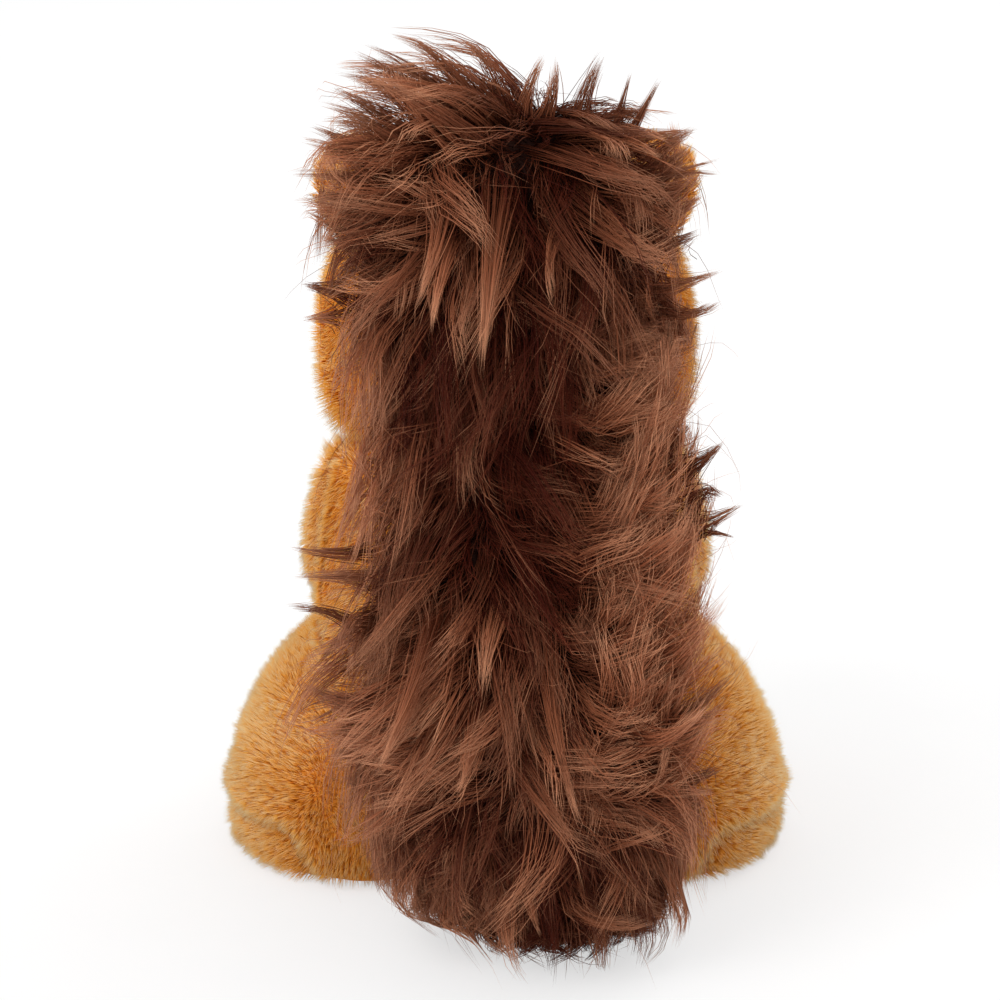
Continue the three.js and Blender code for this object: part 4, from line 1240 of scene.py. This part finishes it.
def tuftHair(table, settings):
    # tufts: hairs from a small patch, sunk into the pile, bowed and drawn together towards one point
    dice = np.random.default_rng(settings["seed"])
    across, up, acrossTip, upTip, spread, bow = table.T
    number, sunk = len(table), settings["sunk"]
    depth, depthTip = (np.interp(level, [*tailLevels, 230], settings["depths"]) for level in (up, upTip))
    root = np.stack([across, depth - sunk, up], 1)
    point = np.stack([acrossTip, depthTip + dice.uniform(-3, 3, number), upTip], 1)
    tuft = np.repeat(np.arange(number), (10 + 20 * spread).astype(int))
    roots = root[tuft] + dice.normal(0, 1, (len(tuft), 3)) * spread[tuft][:, None]
    tips = point[tuft] + dice.normal(0, 0.4, (len(tuft), 3)) * spread[tuft][:, None]
    tips = roots + (tips - roots) * dice.uniform(0.45, 1.06, (len(tuft), 1))
    along = np.linspace(0, 1, 6)[None, :, None]
    middle = root[tuft][:, None] * (1 - along) + point[tuft][:, None] * along
    spines = roots[:, None] * (1 - along) + tips[:, None] * along
    spines = spines + (middle - spines) * 0.55 * along ** 0.8
    arch = dice.normal(0, 1.1, (number, 3)) + np.stack([0 * bow, 0 * bow + 0.7 * sunk, bow], 1)
    spines = spines + arch[tuft][:, None] * 4 * along * (1 - along)
    spines[..., 2] = softLimit(spines[..., 2], *tailSettings["top"]).clip(tailSettings["floor"])
    tone = (settings["shade"] + dice.normal(0, 0.14, number))[tuft] + dice.normal(0, 0.08, len(tuft))
    return spines, settings["width"] * dice.uniform(0.7, 1.15, len(tuft)), tone, root[tuft]


def makeTail():
    rows = tailRows()
    full = closed(rows)
    level = rows[..., 2].mean(1)
    turn = int(np.argmax(rows[:, :, 1].mean(1) > tailSettings["bendDepth"]))  # first ring past the low bend
    cut = turn + int(np.argmax(level[turn:] > tailSettings["split"]))
    lid = np.broadcast_to(rows[cut].mean(0), (1, *rows.shape[1:]))
    for label, part, zone, nodes in (
            ("tail_lower_skin", np.concatenate([rows[:cut + 1], lid]), "lower",
             ("tail_base_cover", "tail_base_stuffing", "tail_middle_cover", "tail_middle_stuffing")),
            ("tail_upper_skin", np.concatenate([lid, rows[cut:]]), "upper",
             ("tail_tip_cover", "tail_tip_stuffing"))):
        obj = piece(label, *closed(part), tailBacking)
        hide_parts(*nodes)
        blendTail(obj)
    for label, hair in (("tail_underfur", longHair(full, underFur)),
                        ("tail_locks", longHair(full, guardHair)),
                        ("tail_loose_hair", longHair(full, flyHair)),
                        ("tail_tufts", tuftHair(tufted, tuftSettings)),
                        ("tail_light_locks", tuftHair(streaked, streakSettings))):
        spines, width, tone, roots = hair
        each = 6 * (spines.shape[1] - 2) + 4  # triangles of one hair
        lower = roots[:, 2] < tailSettings["split"]
        for zone, chosen in (("lower", lower), ("upper", ~lower)):
            for part, take in enumerate(shares(np.flatnonzero(chosen), tailSettings["most"] / each)):
                obj = strands(f"{label}_{zone}_{part + 1}", spines[take], width[take], tone[take], tailHair,
                              tailSettings["seed"])
                blendTail(obj)
        print(f"{label}: {len(spines)} hairs")


makeTail()

# what stays from the CAD

for node in ("left_eye_washer", "right_eye_washer", "nose_washer"):
    frame["nodes"][node].data.materials.clear()
    frame["nodes"][node].data.materials.append(washerPlastic)

# floor, light and camera

stageSettings = dict(floor=6.0, whitened=0.62, world=0.9, key=18.0, fill=8.0, aim=(0.0016, 0, 0.0982),
                     distance=1.2, elevation=16, middle=0.110, lens=160, sensor=36, lampAim=(0, 0, 0.1))


def standAt(name, data, place, target):  # a lamp or camera at a place, turned to a target
    obj = bpy.data.objects.new(name, data)
    bpy.context.scene.collection.objects.link(obj)
    obj.location = place
    obj.rotation_euler = (Vector(target) - Vector(place)).to_track_quat("-Z", "Y").to_euler()
    return obj


def makeStage():
    floor = bpy.data.meshes.new("floor")
    half = stageSettings["floor"] / 2
    around = [(-half, -half, 0), (half, -half, 0), (half, half, 0), (-half, half, 0)]
    floor.from_pydata(around, [], [(0, 1, 2, 3)])
    ground = Finish("white_floor", Roughness=0.9, Specular_IOR_Level=0.1)
    grain = ground.noise(ground.place(), 40.0)
    ground.use(Base_Color=ground.mix(grain, linear(243, 243, 243), linear(247, 247, 247)))
    glow = ground.node("ShaderNodeEmission", {}, {"Color": (1, 1, 1, 1), "Strength": 1.0})
    seen = ground.node("ShaderNodeLightPath", {}, {}, "Is Camera Ray")
    lit = Wire(ground, ground.shader.outputs[0])
    both = ground.node("ShaderNodeMixShader", {}, {0: seen * stageSettings["whitened"], 1: lit, 2: glow})
    end = next(n for n in ground.tree.nodes if n.type == "OUTPUT_MATERIAL")
    ground.put(end, {"Surface": both})
    floor.materials.append(ground.material)
    obj = bpy.data.objects.new("floor", floor)
    bpy.context.scene.collection.objects.link(obj)
    obj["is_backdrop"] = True

    world = bpy.data.worlds.new("studio")
    bpy.context.scene.world = world
    world.use_nodes = True
    nodes, links = world.node_tree.nodes, world.node_tree.links
    light = next(n for n in nodes if n.type == "BACKGROUND")
    light.inputs[0].default_value = (1, 1, 1, 1)
    path = nodes.new("ShaderNodeLightPath")
    strength = nodes.new("ShaderNodeMapRange")
    links.new(path.outputs["Is Camera Ray"], strength.inputs["Value"])
    strength.inputs["To Min"].default_value = stageSettings["world"]
    strength.inputs["To Max"].default_value = 1.0
    links.new(strength.outputs[0], light.inputs[1])

    for name, place, size, power in (("key", (0.9, 1.2, 1.5), 1.0, stageSettings["key"]),
                                     ("fill", (-1.1, -0.9, 1.3), 1.2, stageSettings["fill"])):
        lamp = bpy.data.lights.new(name, "AREA")
        lamp.size, lamp.energy = size, power
        standAt(name, lamp, place, stageSettings["lampAim"])

    camera = bpy.data.cameras.new("camera")
    camera.lens, camera.sensor_width = stageSettings["lens"], stageSettings["sensor"]
    turn = math.radians(stageSettings["elevation"])
    place = (0, stageSettings["distance"] * math.cos(turn),
             stageSettings["middle"] + stageSettings["distance"] * math.sin(turn))
    bpy.context.scene.camera = standAt("camera", camera, place, stageSettings["aim"])
    bpy.context.scene.view_settings.view_transform = "Standard"


makeStage()

bpy.context.view_layer.update()
print("triangles", sum(len(o.data.polygons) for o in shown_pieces() if o.type == "MESH"))
